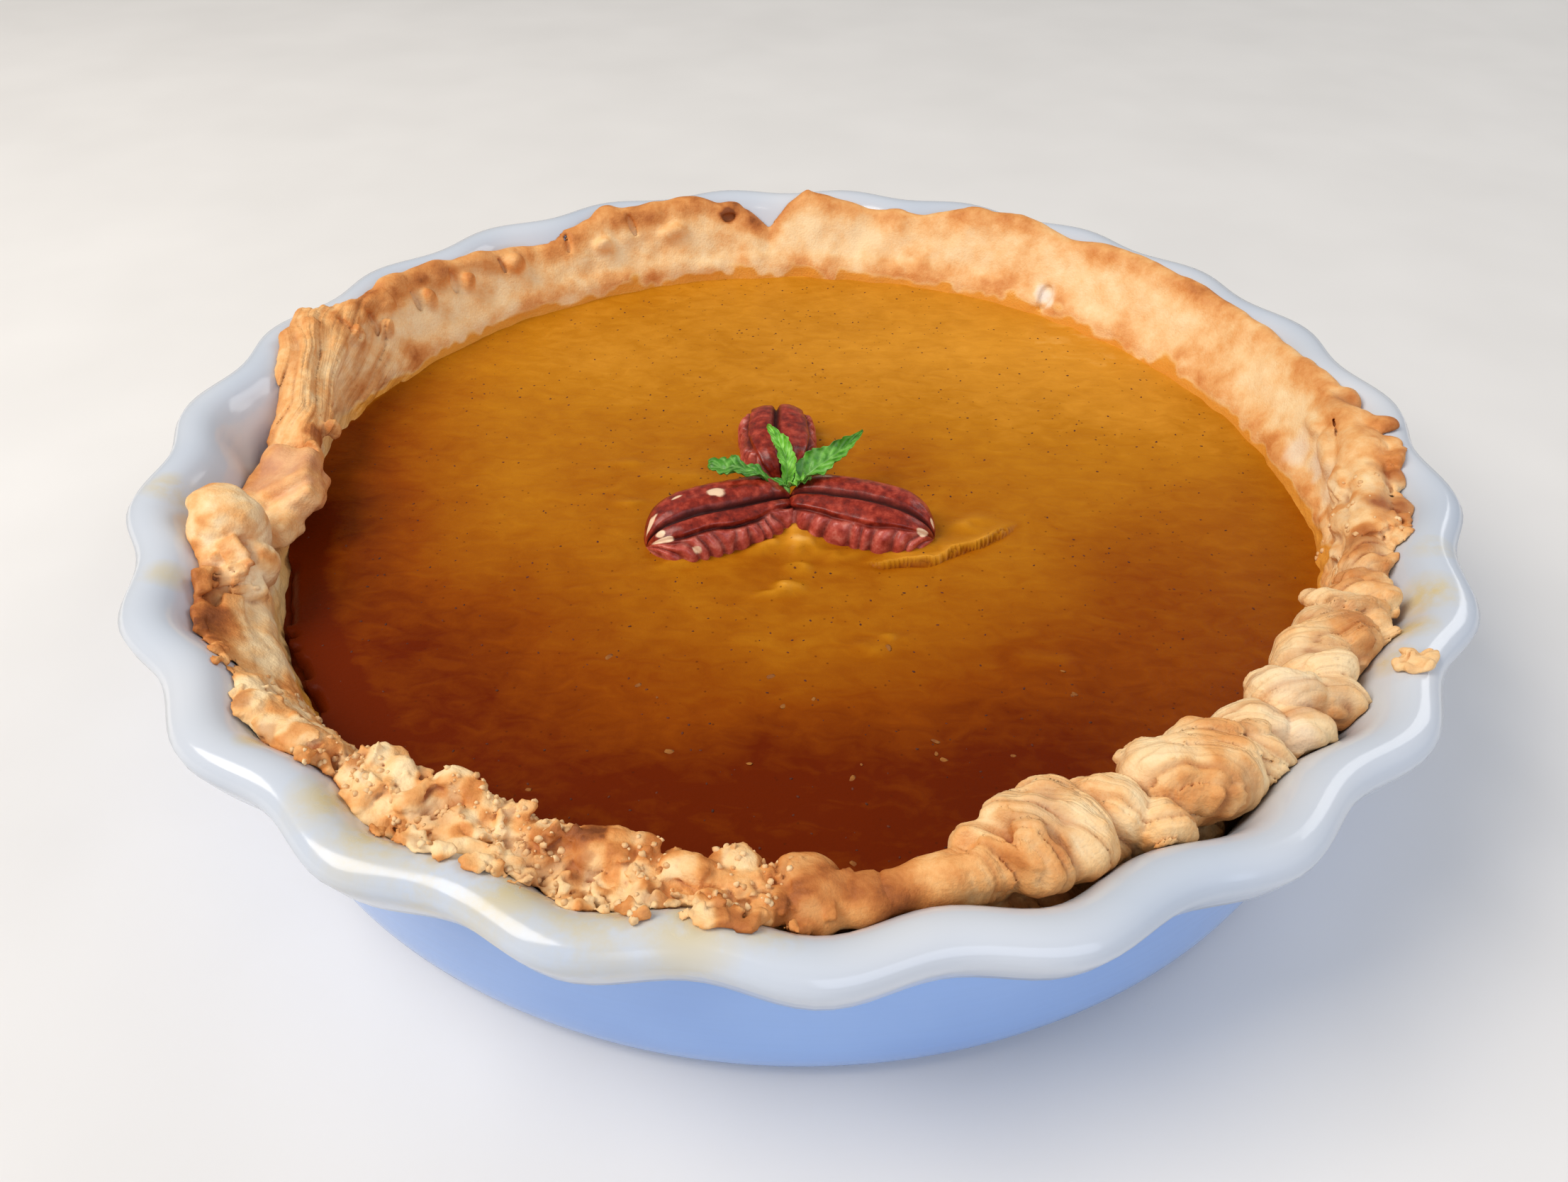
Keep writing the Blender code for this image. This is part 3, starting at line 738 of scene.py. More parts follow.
BROKEN_LUMPS = (
    (223.4, 121.6, 48.4, (3.8, 3.8, 3), (0, 10, 20), 0.7),
    (225.4, 120.6, 47.2, (3.4, 3.4, 2.6), (10, -10, 50), 0.7),
    (229.6, 119, 48, (7.8, 3.6, 3), (-8, 4, -16), 0.8),
    (232, 118.6, 46.2, (3.4, 2.6, 2.4), (0, -10, -30), 0.7),
    (235.6, 116.6, 46.1, (5.6, 6.4, 4.2), (-8, 8, 0), 0.8),
    (236, 113.6, 48.9, (3.2, 3.2, 2.2), (10, 14, 20), 0.6),
    (237.8, 114.4, 48.7, (3.6, 3, 2.6), (-10, -10, -10), 0.6),
    (236.8, 119.2, 48.3, (4, 3.2, 1.8), (-24, 0, 30), 0.6),
    (240.2, 119, 47.7, (4.4, 4, 1.6), (-30, 10, -10), 0.6),
    (239, 123, 46.5, (6.6, 2.8, 1.5), (-20, -4, 6), 0.6),
    (243, 112, 49.5, (3.6, 3.2, 2.8), (0, -8, 10), 0.6),
    (246, 113.6, 48.1, (4.6, 3.8, 3), (0, 12, -16), 0.7),
    (249, 113.6, 46.9, (3.4, 3.2, 2.6), (0, 0, 0), 0.8),
    (252.4, 113.8, 47.5, (5.4, 3.6, 2.6), (8, 0, 6), 0.8),
    (256.8, 113.2, 48.1, (6.4, 4, 2.8), (10, 6, -6), 0.8),
    (258.4, 117.2, 47.3, (2.6, 2.6, 2.4), (0, 10, 20), 0.4),
    (263.6, 115.2, 49.2, (6.2, 2.6, 1.6), (-10, 4, 14), 0.6),
    (266.2, 112.2, 47.8, (4.2, 3.2, 2.6), (0, 10, 0), 0.6),
    (271.2, 113.6, 46.8, (5.4, 4.4, 3.4), (0, 0, 0), 0.8),
    (271.8, 117.4, 47, (5.6, 5.6, 3.8), (-16, 0, 0), 1),
    (275, 117.4, 46.6, (5.2, 4.4, 3.4), (-6, -8, 0), 1.2),
)
BROKEN_CUTS = (
    (233.4, 120.6, 49.6, (1.6, 4, 3.4), (0, 0, -30), 0.8),
    (243.4, 116.6, 50.6, (4.2, 3, 2.6), (0, 0, 10), 1),
    (253, 116.4, 50.6, (7, 1.6, 1.8), (0, 0, 4), 0.8),
    (266.4, 118.8, 50, (5.6, 1, 1.6), (0, 0, 10), 0.7),
)
# Heaps of loose broken pastry: (first and last angle, inner and outer radius, lowest and highest
# middle, count, smallest and largest half size)
RUBBLE = (
    (244, 263, 116, 123.2, 45.6, 48.6, 80, 1.4, 3.6), (240, 272, 119, 125.6, 40, 45, 150, 0.8, 2.2),
    (258, 271, 112.4, 121, 46.6, 49.2, 90, 1, 3), (234, 248, 112.6, 121, 46.6, 49.8, 80, 1.2, 3.2),
    (219, 233, 117.6, 122.6, 46, 49.4, 50, 1, 2.6), (247, 260, 111.4, 115.6, 48.2, 50, 30, 0.8, 2.2),
    (266, 276, 113, 121, 46.6, 49.2, 30, 0.7, 1.6), (238, 268, 113, 123, 45, 49, 190, 0.45, 1),
)
SIDE_RUBBLE = (
    (-17, -2, 120.4, 123.8, 48.6, 51, 44, 0.9, 2.2),
    (-20, -12, 115, 121, 46.6, 49, 18, 0.8, 2),
    (2, 10, 119.6, 123.6, 50.8, 52.8, 12, 0.8, 1.8),
)
KNOB_RUBBLE = (
    (200.4, 206, 111.6, 120, 43, 50.6, 90, 0.8, 2.2),
    (206, 218, 120.4, 122.6, 46.6, 48.6, 40, 0.6, 1.4),
)

# How crumbly the surface is round the rim: (angle, share)
CRUMBLE = (
    (0, 0.28), (8, 0.24), (14, 0.08), (90, 0.05), (98, 0.2), (124, 0.24), (150, 0.22), (158, 0.05),
    (185, 0.12), (193, 0.3), (202, 0.6), (208, 0.45), (216, 0.5), (220, 1), (266, 1), (271, 0.6),
    (277, 0.15), (285, 0.05), (300, 0.04), (325, 0.08), (336, 0.2), (341, 0.66), (352, 0.72),
)
# How strongly it is browned: (angle, share at the top edge, share on the face)
BROWNING = (
    (0, 0.28, 0.16), (12, 0.4, 0.16), (30, 0.46, 0.16), (45, 0.44, 0.16), (60, 0.42, 0.14),
    (88, 0.5, 0.08), (100, 0.68, 0.14), (118, 0.64, 0.14), (128, 0.44, 0.14), (140, 0.58, 0.14),
    (152, 0.54, 0.14), (163, 0.36, 0.12), (172, 0.32, 0.14), (186, 0.42, 0.36), (196, 0.1, -0.1),
    (205, 0.45, 0.12), (212, 0.78, 0.12), (221, 0.26, 0.2), (240, 0.3, 0.26), (256, 0.3, 0.26),
    (270, 0.44, 0.42), (280, 0.46, 0.34), (290, 0.14, 0), (300, 0.1, 0), (315, 0.02, -0.04),
    (325, 0.06, 0), (335, 0.18, 0), (345, 0.34, 0.14),
)
# Patches: (angle, radius, height, reach, added browning, added red-brown hollow and painted shade,
# added flour). Those at 285.8 and 303 degrees are painted shade on the roll's front lump and dome,
# the one at 186 partly painted shade on the flattened lump.
PATCHES = (
    (177.6, 105.6, 46.2, 3.4, 0.6, 1, 0), (175, 107.6, 40, 3, 0.2, 0.6, 0),
    # partly painted shade: the patch at 186 darkens the flattened lump's face
    (186, 108.6, 46, 9, 0.32, 0.4, 0.16), (190, 104.6, 43, 6, 0.1, 0.2, 0.1),
    (53.2, 114.6, 39.6, 3.4, -0.6, 0, 1), (5.6, 114.6, 41.6, 4, -0.3, 0, 0.5),
    (1, 116, 43.6, 4, -0.2, 0, 0.5), (-11, 121, 51.6, 6, 0.25, 1, 0), (-7, 122.6, 52.2, 4.2, 0.2, 1, 0),
    (199.6, 114.6, 49, 8, -0.3, -0.6, 0.12), (-17.2, 115.6, 49.6, 5, 0.2, 0.8, 0),
    (6.4, 123, 53, 5, 0.2, 0.6, 0), (-4, 114.4, 44.6, 5, -0.3, 0, 0.3), (1.6, 128, 54, 6, 0.3, 0, 0),
    (205.4, 121.4, 47.4, 5, 0.2, 0.9, 0), (211, 121, 46.6, 6, 0.35, 0.7, 0),
    (209, 121.4, 46.8, 5, 0.2, 0.5, 0), (194.6, 117.4, 55, 5, 0.3, 0, 0),
    (243.4, 116.8, 48, 5.4, 0.1, 0.8, 0), (253, 116.2, 48.6, 6, 0.1, 0.5, 0),
    (230.6, 118.4, 49.4, 5, 0.1, 0.25, 0), (256, 111.6, 52, 7, 0.35, 0, 0),
    (271.6, 117, 50, 7, 0.25, 0.45, 0), (276.6, 117.6, 47, 7, 0.4, 0.5, 0),
    (288, 117, 50.6, 5, 0.3, 0.15, 0), (283, 114, 50, 4, 0.2, 0.1, 0), (307, 112, 55, 6, 0.35, 0.15, 0),
    (327, 116.6, 51.6, 6, 0.3, 0.2, 0), (336, 113.6, 51.4, 4.6, 0.2, 0, 0),
    # painted shade: the patch at 303 darkens the roll's dome, the one at 285.8 below its front lump
    (300, 116.6, 51, 4, 0.2, 0.2, 0), (303, 117, 50.6, 6.5, 0.34, 0.15, 0),
    (285.8, 115, 50.8, 4, 0.34, 0.1, 0), (318, 118.4, 48, 6, 0.2, 0.1, 0),
    (292.4, 120, 47, 5, 0.2, 0.1, 0), (100.4, 120.8, 50, 2.6, 0.8, 1, 0),
    (144, 121.4, 52.4, 6, 0.2, 0.3, 0), (136, 119.6, 50.4, 5, 0.1, 0.3, 0),
    (313, 118.6, 50, 4, -0.2, 0, 0.3), (316, 113, 54, 6, -0.1, 0, 0.15),
    (204, 115, 46, 5, -0.3, 0, 0.15),
)


class Dough:
    """A field round part of the rim, negative inside the pastry. Its shapes add up to one skin."""

    def __init__(self, start, end, grain, low, high):
        self.start = start
        self.end = end
        self.grain = grain
        self.radius = np.arange(low[0], high[0], grain)
        self.angle = np.arange(start, end, math.degrees(grain / RIM_MIDDLE))
        self.height = np.arange(low[1], high[1], grain)
        size = (len(self.radius), len(self.angle), len(self.height))
        self.field = np.full(size, FAR, np.float32)

    def add_wall(self):
        """Stand the wall of dough in the field: a foot against the glass, its face and its top."""
        face, top_r, top_z, half = (on_ring(self.angle, WALL, i)[None, :, None] for i in range(1, 5))
        r = self.radius[:, None, None]
        z = self.height[None, None, :]
        points = ((face + 1.4, FOOT_Z, 3.0), (face + 2.7, FACE_Z + 0.6, 2.7), (top_r, top_z, half))
        self.field = rod(r, z, (114.6, FOOT_Z - 1.0, 3.2), (115.2, FACE_Z - 1.0, 3.2))
        for low, high in zip(points, points[1:]):
            self.field = soft_min(self.field, rod(r, z, low, high), 1.0)
        self.field = np.broadcast_to(self.field, (len(self.radius), len(self.angle),
                                                  len(self.height))).astype(np.float32)

    def add_lump(self, lump, cut=False):
        """Press one lump on, or cut its shape away."""
        angle, radius, height, size, turns, blend, corner = (*lump, 0)[:7]
        size = np.array(size, float)
        reach = size.max() + abs(blend) * 2.0 + 1.0
        turn = np.radians(self.angle - angle)
        picks = (np.flatnonzero(np.abs(self.radius - radius) < reach),
                 np.flatnonzero(np.abs(turn) * radius < reach),
                 np.flatnonzero(np.abs(self.height - height) < reach))
        if min(map(len, picks)) == 0:
            return
        r, a, z = np.meshgrid(self.radius[picks[0]], turn[picks[1]],
                              self.height[picks[2]] - height, indexing="ij")
        offsets = np.stack([r * np.sin(a), r * np.cos(a) - radius, z], -1)
        axes = np.array(Euler([math.radians(t) for t in turns]).to_matrix())
        local = offsets @ axes
        if corner:
            over = np.abs(local) - size + corner
            shape = (np.linalg.norm(np.maximum(over, 0.0), axis=-1)
                     + np.minimum(over.max(-1), 0.0) - corner)
        else:
            near = np.maximum(np.linalg.norm(local / size, axis=-1), 0.02)
            slope = np.maximum(np.linalg.norm(local / size ** 2, axis=-1), 0.02 / size.max())
            shape = near * (near - 1.0) / slope
        block = np.ix_(*picks)
        if cut:
            cut_away = -soft_min(-self.field[block], shape, blend)
            self.field[block] = np.minimum(cut_away, self.field[block] + GROOVE)
        else:
            self.field[block] = soft_min(self.field[block], shape, blend)

    def add_strand(self, strand):
        """Lay a strand of dough along points of (angle, radius, height, half thickness)."""
        blend, *line = strand
        for low, high in zip(line, line[1:]):
            reach = max(low[3], high[3]) + 2.0 + abs(blend)
            picks = [np.flatnonzero((grid > min(low[i], high[i]) - reach / share)
                                    & (grid < max(low[i], high[i]) + reach / share))
                     for i, grid, share in ((1, self.radius, 1.0), (0, self.angle, 2.0),
                                            (2, self.height, 1.0))]
            grids = np.meshgrid(self.radius[picks[0]], self.angle[picks[1]],
                                self.height[picks[2]], indexing="ij")
            start = polar(low[1], low[0], low[2])
            along = polar(high[1], high[0], high[2]) - start
            offset = polar(*grids) - start
            share = np.clip(offset @ along / (along @ along), 0.0, 1.0)
            away = np.linalg.norm(offset - share[..., None] * along, axis=-1)
            block = np.ix_(*picks)
            thick = low[3] + (high[3] - low[3]) * share
            self.field[block] = soft_min(self.field[block], away - thick, blend)

    def add_rubble(self, heaps, seed, dish):
        """Heap small broken bits on, lying at all angles but mostly flat."""
        chance = np.random.default_rng(seed)
        for first, last, inner, outer, low, high, count, least, most in heaps:
            for _ in range(count):
                big = least + (most - least) * chance.uniform() ** 1.7
                size = (big, big * chance.uniform(0.4, 0.85), big * chance.uniform(0.12, 0.4) + 0.2)
                turns = (chance.normal(0, 24), chance.normal(0, 24), chance.uniform(0, 180))
                angle = chance.uniform(first, last)
                radius = chance.uniform(inner, outer)
                height = max(chance.uniform(low, high), glass_height(radius, angle, dish) + 0.7)
                self.add_lump((angle, radius, height, size, turns, 0.1, min(size) * 0.25))

    def warp(self, strength, size, seed):
        """Push the dough about unevenly, so that no two lumps are alike."""
        near = np.abs(self.field) < 4.0
        r, a, z = np.nonzero(near)
        places = polar(self.radius[r], self.angle[a], self.height[z])
        self.field[near] += strength * rough_noise(places, size, seed, 2)

    def roughen(self, seed):
        """Give the skin its grain: fine folds along the roll, and grains where it has broken."""
        near = np.abs(self.field) < 1.6
        r, a, z = np.nonzero(near)
        angle = self.angle[a]
        places = polar(self.radius[r], angle, self.height[z])
        crumble = on_ring(angle, CRUMBLE, 1)
        moved = 0.05 * noise(places, 4.0, seed)
        if self.grain < 0.5:
            moved += 0.24 * rough_noise(places, 3.2, seed, 2)
        fold, rolled = fold_lines(places)
        for size, depth in ((FOLD, 0.6), ((1.6, 10.0, 10.0), 0.5), ((1.1, 7.0, 7.0), 0.3)):
            crease = noise(fold / size, 1.0, CREASES)
            moved += rolled * depth * np.exp(-(crease / 0.16) ** 2)
        moved += rolled * (0.45 * rough_noise(places, 4.2, seed + 9, 3) - 0.14)
        broken = crumble > 0.25
        loose = places[broken]
        grains = 0.34 * (granules(loose, 2.3, seed) - 0.5)
        grains += 0.9 * (granules(loose, 4.6, seed + 5) - 0.5)
        grains += 0.24 * (granules(loose, 1.1, seed + 3) - 0.5)
        grains += 0.42 * noise(loose / (3.4, 3.4, 0.8), 1.0, seed + 7)
        moved[broken] += grains * ease((crumble[broken] - 0.2) / 0.75)
        self.field[near] += moved.astype(np.float32)

    def clear_dish(self, dish, gap):
        """Keep the dough off the glass below the rim's crest."""
        r = self.radius[:, None, None]
        inside = dish_inside(self.angle[:, None], self.height[None, :], dish)[None]
        crest = DISH_PROFILE[LIP_ROW][1]
        below = self.height[None, None, :] < crest + gap
        glass = np.where(below, r - inside + gap, -FAR)
        self.field = np.maximum(self.field, glass.astype(np.float32))

    def close_ends(self, reach):
        """Thin the dough to nothing at both ends, inside its neighbours."""
        angle = self.angle[None, :, None]
        ends = ease((self.start + reach - angle) / reach) + ease((angle - self.end + reach) / reach)
        self.field = self.field + (ends * 7.0).astype(np.float32)
        for axis in range(3):
            edge = np.moveaxis(self.field, axis, 0)
            edge[0] = FAR
            edge[-1] = FAR

    def shade(self, spots, places):
        """Browning, red-brown torn hollows, custard film and flour at the skin's points, with painted
        shade in the hollows, along the roll's creases, under the roll and on some patches.
        """
        soft = np.clip(self.field, -2.5, 2.5)
        for _ in range(max(2, round(1.6 / self.grain))):
            for axis in range(3):
                moved = np.moveaxis(soft, axis, 0)
                moved[1:-1] = (moved[:-2] + moved[1:-1] * 2.0 + moved[2:]) * 0.25
        bulge = between(soft, spots) / 0.35
        angle = bearing(places)
        height = places[:, 2]
        radius = np.hypot(places[:, 0], places[:, 1])
        top = on_ring(angle, BROWNING, 1)
        face = on_ring(angle, BROWNING, 2)
        edge = on_ring(angle, WALL, 3) + 1.0
        risen = ease((height - edge + 5.0) / 6.0)
        patchy = rough_noise(places, 9.0, 41, 2)
        speckle = noise(places, 2.4, 57)
        bake_and_shade = face + (top - face) * risen + 0.26 * patchy + 0.07 * speckle
        bake_and_shade += 0.13 * np.clip(bulge, -1.0, 1.4)
        crumble = on_ring(angle, CRUMBLE, 1)
        # painted shade: red-brown darkening where the skin is hollow, more where it has broken
        torn_and_shade = np.clip(-bulge - 0.25, 0.0, 1.0) * (0.35 + 0.65 * crumble)
        flour = np.zeros_like(bake_and_shade)
        for at, out, up, reach, more, red, white in PATCHES:
            away = np.linalg.norm(places - polar(out, at, up), axis=1) / reach
            near = ease(1.25 - away * (1.0 + 0.35 * speckle))
            bake_and_shade += more * near
            torn_and_shade += red * near * np.clip(0.75 + patchy * 0.8 - bulge * 0.35, 0.0, 1.0)
            flour += white * near
        film_top = FACE_Z - 1.6 + 1.9 * noise(places, 8.0, 77) + 1.6 * noise(places, 3.0, 78)
        film_top += FILM_RISE * band(angle, 345, 357, 6)
        film = ease((film_top - height) / 1.4 + 0.5) * ease((117.0 - radius) / 2.0)
        film *= 1.0 - band(angle, 166.0, 214.0, 6.0) * 0.35
        bake_and_shade += 0.3 * ease((FACE_Z + 7.0 - height) / 7.0) * (0.7 + 0.6 * patchy)
        bake_and_shade += 0.24 * crumble * np.tanh(3.0 * noise(places, 2.8, 63))
        fold, rolled = fold_lines(places)
        # painted shade: browner, darker lines along the rolled stretch's creases, and the roll's lower
        # outer side over the rim browner
        crease = rolled * np.exp(-(noise(fold / FOLD, 1.0, CREASES) / 0.22) ** 2)
        bake_and_shade += 0.15 * crease
        bake_and_shade += 0.42 * rolled * ease((50.0 - height) / 6.0) * ease((radius - 115.0) / 5.0)
        torn_and_shade += 0.35 * crease
        # painted shade: red-brown pockets in the broken stretch's hollows
        pocket = rough_noise(places, 6.0, 83, 2) - 0.04 - 0.4 * bulge
        torn_and_shade += 0.5 * ease((crumble - 0.5) * 2.0) * ease(pocket * 2.4)
        return {"bake_and_shade": np.clip(bake_and_shade, 0, 1.2), "torn_and_shade": np.clip(torn_and_shade, 0, 1),
                "film": film, "flour": np.clip(flour, 0, 1), "fold": fold[:, 0],
                "rolled": rolled}

    def skin(self, name, finish):
        """The dough's surface as a closed piece."""
        spots, faces = surface(self.field)
        steps = np.array([self.grain, math.radians(self.angle[1] - self.angle[0]), self.grain])
        low = (self.radius[0], np.radians(self.angle[0]), self.height[0])
        radius, angle, height = (low + spots * steps).T
        places = np.stack([radius * np.cos(angle), radius * np.sin(angle), height], -1)
        return new_piece(name, places, faces, finish, self.shade(spots, places))


def fold_lines(places):
    """Distances across and along the fine folds, and where they show: round the rolled stretch,
    and along the strip drawn away from the glass."""
    angle = bearing(places)
    along = np.radians(angle - 315.0) * RIM_MIDDLE
    out = np.hypot(places[:, 0], places[:, 1]) - 113.5
    up = places[:, 2] - 47.5
    bend = 2.6 * noise(places, 13.0, 91)
    roll = along * 0.72 - out * 0.66 - up * 0.3
    strip = out * 0.8 + up * 0.5 + along * 0.4
    across = np.where(angle < 250.0, strip, roll) + bend
    lines = np.stack([across, along * 0.5 + out * 0.6, up], -1)
    shown = band(angle, 283.0, 343.0, 8.0) + 0.8 * band(angle, 153.0, 180.0, 6.0)
    return lines, shown


def rod(r, z, low, high):
    """A tapered rod's field in a section, from (radius, height, half thickness) to another."""
    br, bz = high[0] - low[0], high[1] - low[1]
    share = np.clip(((r - low[0]) * br + (z - low[1]) * bz) / (br * br + bz * bz), 0.0, 1.0)
    away = np.hypot(r - low[0] - br * share, z - low[1] - bz * share)
    return away - (low[2] + (high[2] - low[2]) * share)


CORNERS = np.array([(i, j, k) for i in (0, 1) for j in (0, 1) for k in (0, 1)])


def between(field, spots):
    """A field's values between its grid points."""
    low = np.clip(np.floor(spots).astype(int), 0, np.array(field.shape) - 2)
    share = spots - low
    return sum(np.prod(np.where(corner, share, 1.0 - share), axis=1)
               * field[tuple((low + corner).T)] for corner in CORNERS)


def surface(field):
    """Points and quads on the zero surface of a field, its faces turned away from the inside."""
    inside = field < 0.0
    nx, ny, nz = (n - 1 for n in field.shape)
    count = sum(inside[i:i + nx, j:j + ny, k:k + nz].astype(np.int8) for i, j, k in CORNERS)
    active = (count > 0) & (count < 8)
    cells = np.argwhere(active)
    number = np.full(active.shape, -1, np.int64)
    number[active] = np.arange(len(cells))
    values = np.stack([field[tuple((cells + corner).T)] for corner in CORNERS], 1)
    total = np.zeros((len(cells), 3))
    hits = np.zeros(len(cells))
    for a in range(8):
        for b in range(a + 1, 8):
            step = CORNERS[b] - CORNERS[a]
            if np.abs(step).sum() != 1:
                continue
            crossed = (values[:, a] < 0) != (values[:, b] < 0)
            gap = np.where(crossed, values[:, a] - values[:, b], 1.0)
            share = np.where(crossed, values[:, a] / gap, 0.0)
            total += crossed[:, None] * (CORNERS[a] + share[:, None] * step)
            hits += crossed
    spots = cells + total / hits[:, None]
    faces = []
    for axis in range(3):
        turned = np.moveaxis(inside, (axis, (axis + 1) % 3, (axis + 2) % 3), (0, 1, 2))
        cell = np.moveaxis(number, (axis, (axis + 1) % 3, (axis + 2) % 3), (0, 1, 2))
        low = turned[:-1, 1:-1, 1:-1]
        high = turned[1:, 1:-1, 1:-1]
        for out in (True, False):
            i, j, k = np.nonzero(low & ~high if out else high & ~low)
            ring = [cell[i, j, k], cell[i, j + 1, k], cell[i, j + 1, k + 1], cell[i, j, k + 1]]
            faces.append(np.stack(ring if out else ring[::-1], -1))
    return spots, np.concatenate(faces)


def baked_shortcrust():
    """Butter shortcrust, rolled thin, pinched by hand and baked: matt and dry, cream where it was
    shaded, gold to brown on the edges that stood up, red-brown in its torn hollows, with painted shade
    in its hollows and creases and under the roll."""
    made, tree, place = new_material("baked_shortcrust")
    bake_and_shade, torn_and_shade, film, flour, fold, rolled = (
        marked(tree, key) for key in ("bake_and_shade", "torn_and_shade", "film", "flour", "fold", "rolled"))
    grain = mottle(tree, place, 1.1, 4.0, Roughness=0.6)
    blotch = mottle(tree, place, 4.5, 3.0, Roughness=0.55)
    level = maths(tree, "ADD", bake_and_shade, rescale(tree, grain, 0.3, 0.7, -0.06, 0.06))
    level = maths(tree, "ADD", level, rescale(tree, blotch, 0.3, 0.7, -0.10, 0.10))
    colour = ramp(tree, level, (0.0, "#FADBA8"), (0.22, "#F5C88C"), (0.42, "#EBAC68"),
                  (0.62, "#D98E4A"), (0.82, "#B76B2F"), (1.0, "#7A3F19"))
    # red-brown of torn dough and painted shade of hollows and creases
    colour = mixed(tree, torn_and_shade, colour, "#A05A2C")
    colour = mixed(tree, flour, colour, "#EFE2D2")
    # silky lines where the dough has been rolled and drawn
    across = add_node(tree, "ShaderNodeCombineXYZ", {"X": fold}).outputs[0]
    across = add_node(tree, "ShaderNodeVectorMath", {0: place, 1: (per_mm(26),) * 3, 2: across},
                      operation="MULTIPLY_ADD").outputs[0]
    silk = add_node(tree, "ShaderNodeTexNoise", {"Vector": across, "Scale": 1.5, "Detail": 2.0})
    silk = maths(tree, "MULTIPLY", silk.outputs["Fac"], rolled)
    colour = mixed(tree, rescale(tree, silk, 0.47, 0.72, 0.0, 0.32), colour, "#D2935A")
    custard = ramp(tree, film, (0.3, "#F8D088"), (1.0, "#E8A040"))
    crumb = maths(tree, "ADD", grain, mottle(tree, place, 0.5))
    return finished(made, {
        "Base Color": mixed(tree, film, colour, custard),
        "Roughness": rescale(tree, film, 0.0, 1.0, 0.58, 0.3), "IOR": 1.45,
        "Specular IOR Level": 0.3,
        "Normal": relief(tree, maths(tree, "MULTIPLY_ADD", silk, 3.4, crumb), 0.5, 0.3)})


class PastrySettings(bpy.types.PropertyGroup):
    """How finely the pastry is built and how it sits in the dish."""

    coarse: length_setting("Back grain", "Grid step of the smooth back", 0.6 * MM)
    fine: length_setting("Side grain", "Grid step of the sides and the roll", 0.42 * MM)
    finest: length_setting("Broken grain", "Grid step where the pastry has broken", 0.36 * MM)
    gap: length_setting("Gap", "Gap between the pastry and the glass", 0.25 * MM)
    seed: setting("Int", "Seed", "Seed of the unevenness", 5)


# The pastry's parts: (name, first and last angle, grain setting, unevenness, lumps, strands, cuts,
# heaps of rubble)
PASTRY_PARTS = (
    ("crust_back", 10.0, 155.0, "coarse", 0.9, BACK_LUMPS, (), BACK_CUTS, ()),
    ("crust_right", -22.0, 18.0, "fine", 0.6, SIDE_LUMPS, (), SIDE_CUTS, SIDE_RUBBLE),
    ("crust_left", 147.0, 226.0, "fine", 0.7, LEFT_LUMPS, LEFT_STRANDS, LEFT_CUTS, KNOB_RUBBLE),
    ("crust_broken", 217.0, 281.5, "finest", 0.45, BROKEN_LUMPS, (), BROKEN_CUTS, RUBBLE),
    ("crust_roll", 273.0, 347.0, "fine", 0.9, ROLL_LUMPS + ROLL_FLAKES, ROLL_STRANDS, ROLL_CUTS,
     ()),
)


class PIE_OT_pastry(bpy.types.Operator):
    """Build the pastry case with its folds, roll and broken edge"""

    bl_idname = "pie.pastry"
    bl_label = "Pastry"

    def execute(self, context):
        pastry = context.scene.pie_pastry
        finish = baked_shortcrust()
        crumbs = toasted("shortcrust_crumb", "#DCA465", "#F3D09A", 0.6)
        for number, part in enumerate(PASTRY_PARTS):
            name, start, end, grain, uneven, lumps, strands, cuts, heaps = part
            dough = Dough(start, end, getattr(pastry, grain) / MM, DOUGH_LOW, DOUGH_HIGH)
            dough.add_wall()
            dough.warp(0.7, 14.0, pastry.seed)
            for lump in lumps:
                dough.add_lump(lump)
            for strand in strands:
                dough.add_strand(strand)
            for lump in cuts:
                dough.add_lump(lump, cut=True)
            dough.warp(uneven, 7.0, pastry.seed + 3)
            dough.add_rubble(heaps, pastry.seed + number, context.scene.pie_dish)
            dough.clear_dish(context.scene.pie_dish, pastry.gap / MM)
            dough.roughen(pastry.seed + 20)
            dough.close_ends(4.0)
            piece = dough.skin(name, finish)
            settle(piece, "pastry", *(("crust",) if number == 0 else ()))
            if heaps:
                self.litter(piece, name.replace("crust", "crumbs"), pastry.seed + number, crumbs)
        return {"FINISHED"}

    def litter(self, piece, name, seed, finish):
        """Sow loose crumbs where a part of the pastry has broken."""
        points = read_triples(piece.data.vertices, "co") / MM
        upward = read_triples(piece.data.vertices, "normal")
        clumps = ease(0.5 + 1.2 * noise(points, 7.0, seed))
        broken = ease((on_ring(bearing(points), CRUMBLE, 1) - CRUMBLING) * 2.5)
        ground = put_in_scene("ground", piece.data.copy())
        store(ground.data, "sown", ease(upward[:, 2] + 0.2) * broken * clumps)
        sow(name, ground, CRUMBS, CRUMB_SIZES, crumb_shape(), finish, seed, tilt=0.8)
        settle(bpy.data.objects[name], "pastry")


# ---------------------------------------------------------------- custard

CUSTARD_TURNS = 480        # points round the custard
# Its rings, as first and last share of the radius and how many: fine in the middle and at the edge
CUSTARD_RINGS = ((0.006, 0.47, 104), (0.475, 0.955, 58), (0.958, 1.0, 16))
SOWN_GRID = (44, 90)       # rings and turns of the ground that specks are sown on
MIDDLE = (14.0, 34.0)      # how far in front the crowned middle lies, and its reach
# How far the custard has drawn away from the wall: (angle, gap)
SHRINK = ((0, -1.2), (186, -1.2), (192, 0.2), (199, 0.7), (206, 1), (214, 0.9), (220, 0.4),
          (225, -1.2))
# A skin ridge beside the pecans, as points from its near end to its far end
RIDGE = ((13.6, -23.4), (18.2, -25), (22.8, -24.1), (29.4, -23.4), (33.6, -19.8), (39.9, -16.9),
         (43.6, -13.6), (49.7, -8.2))
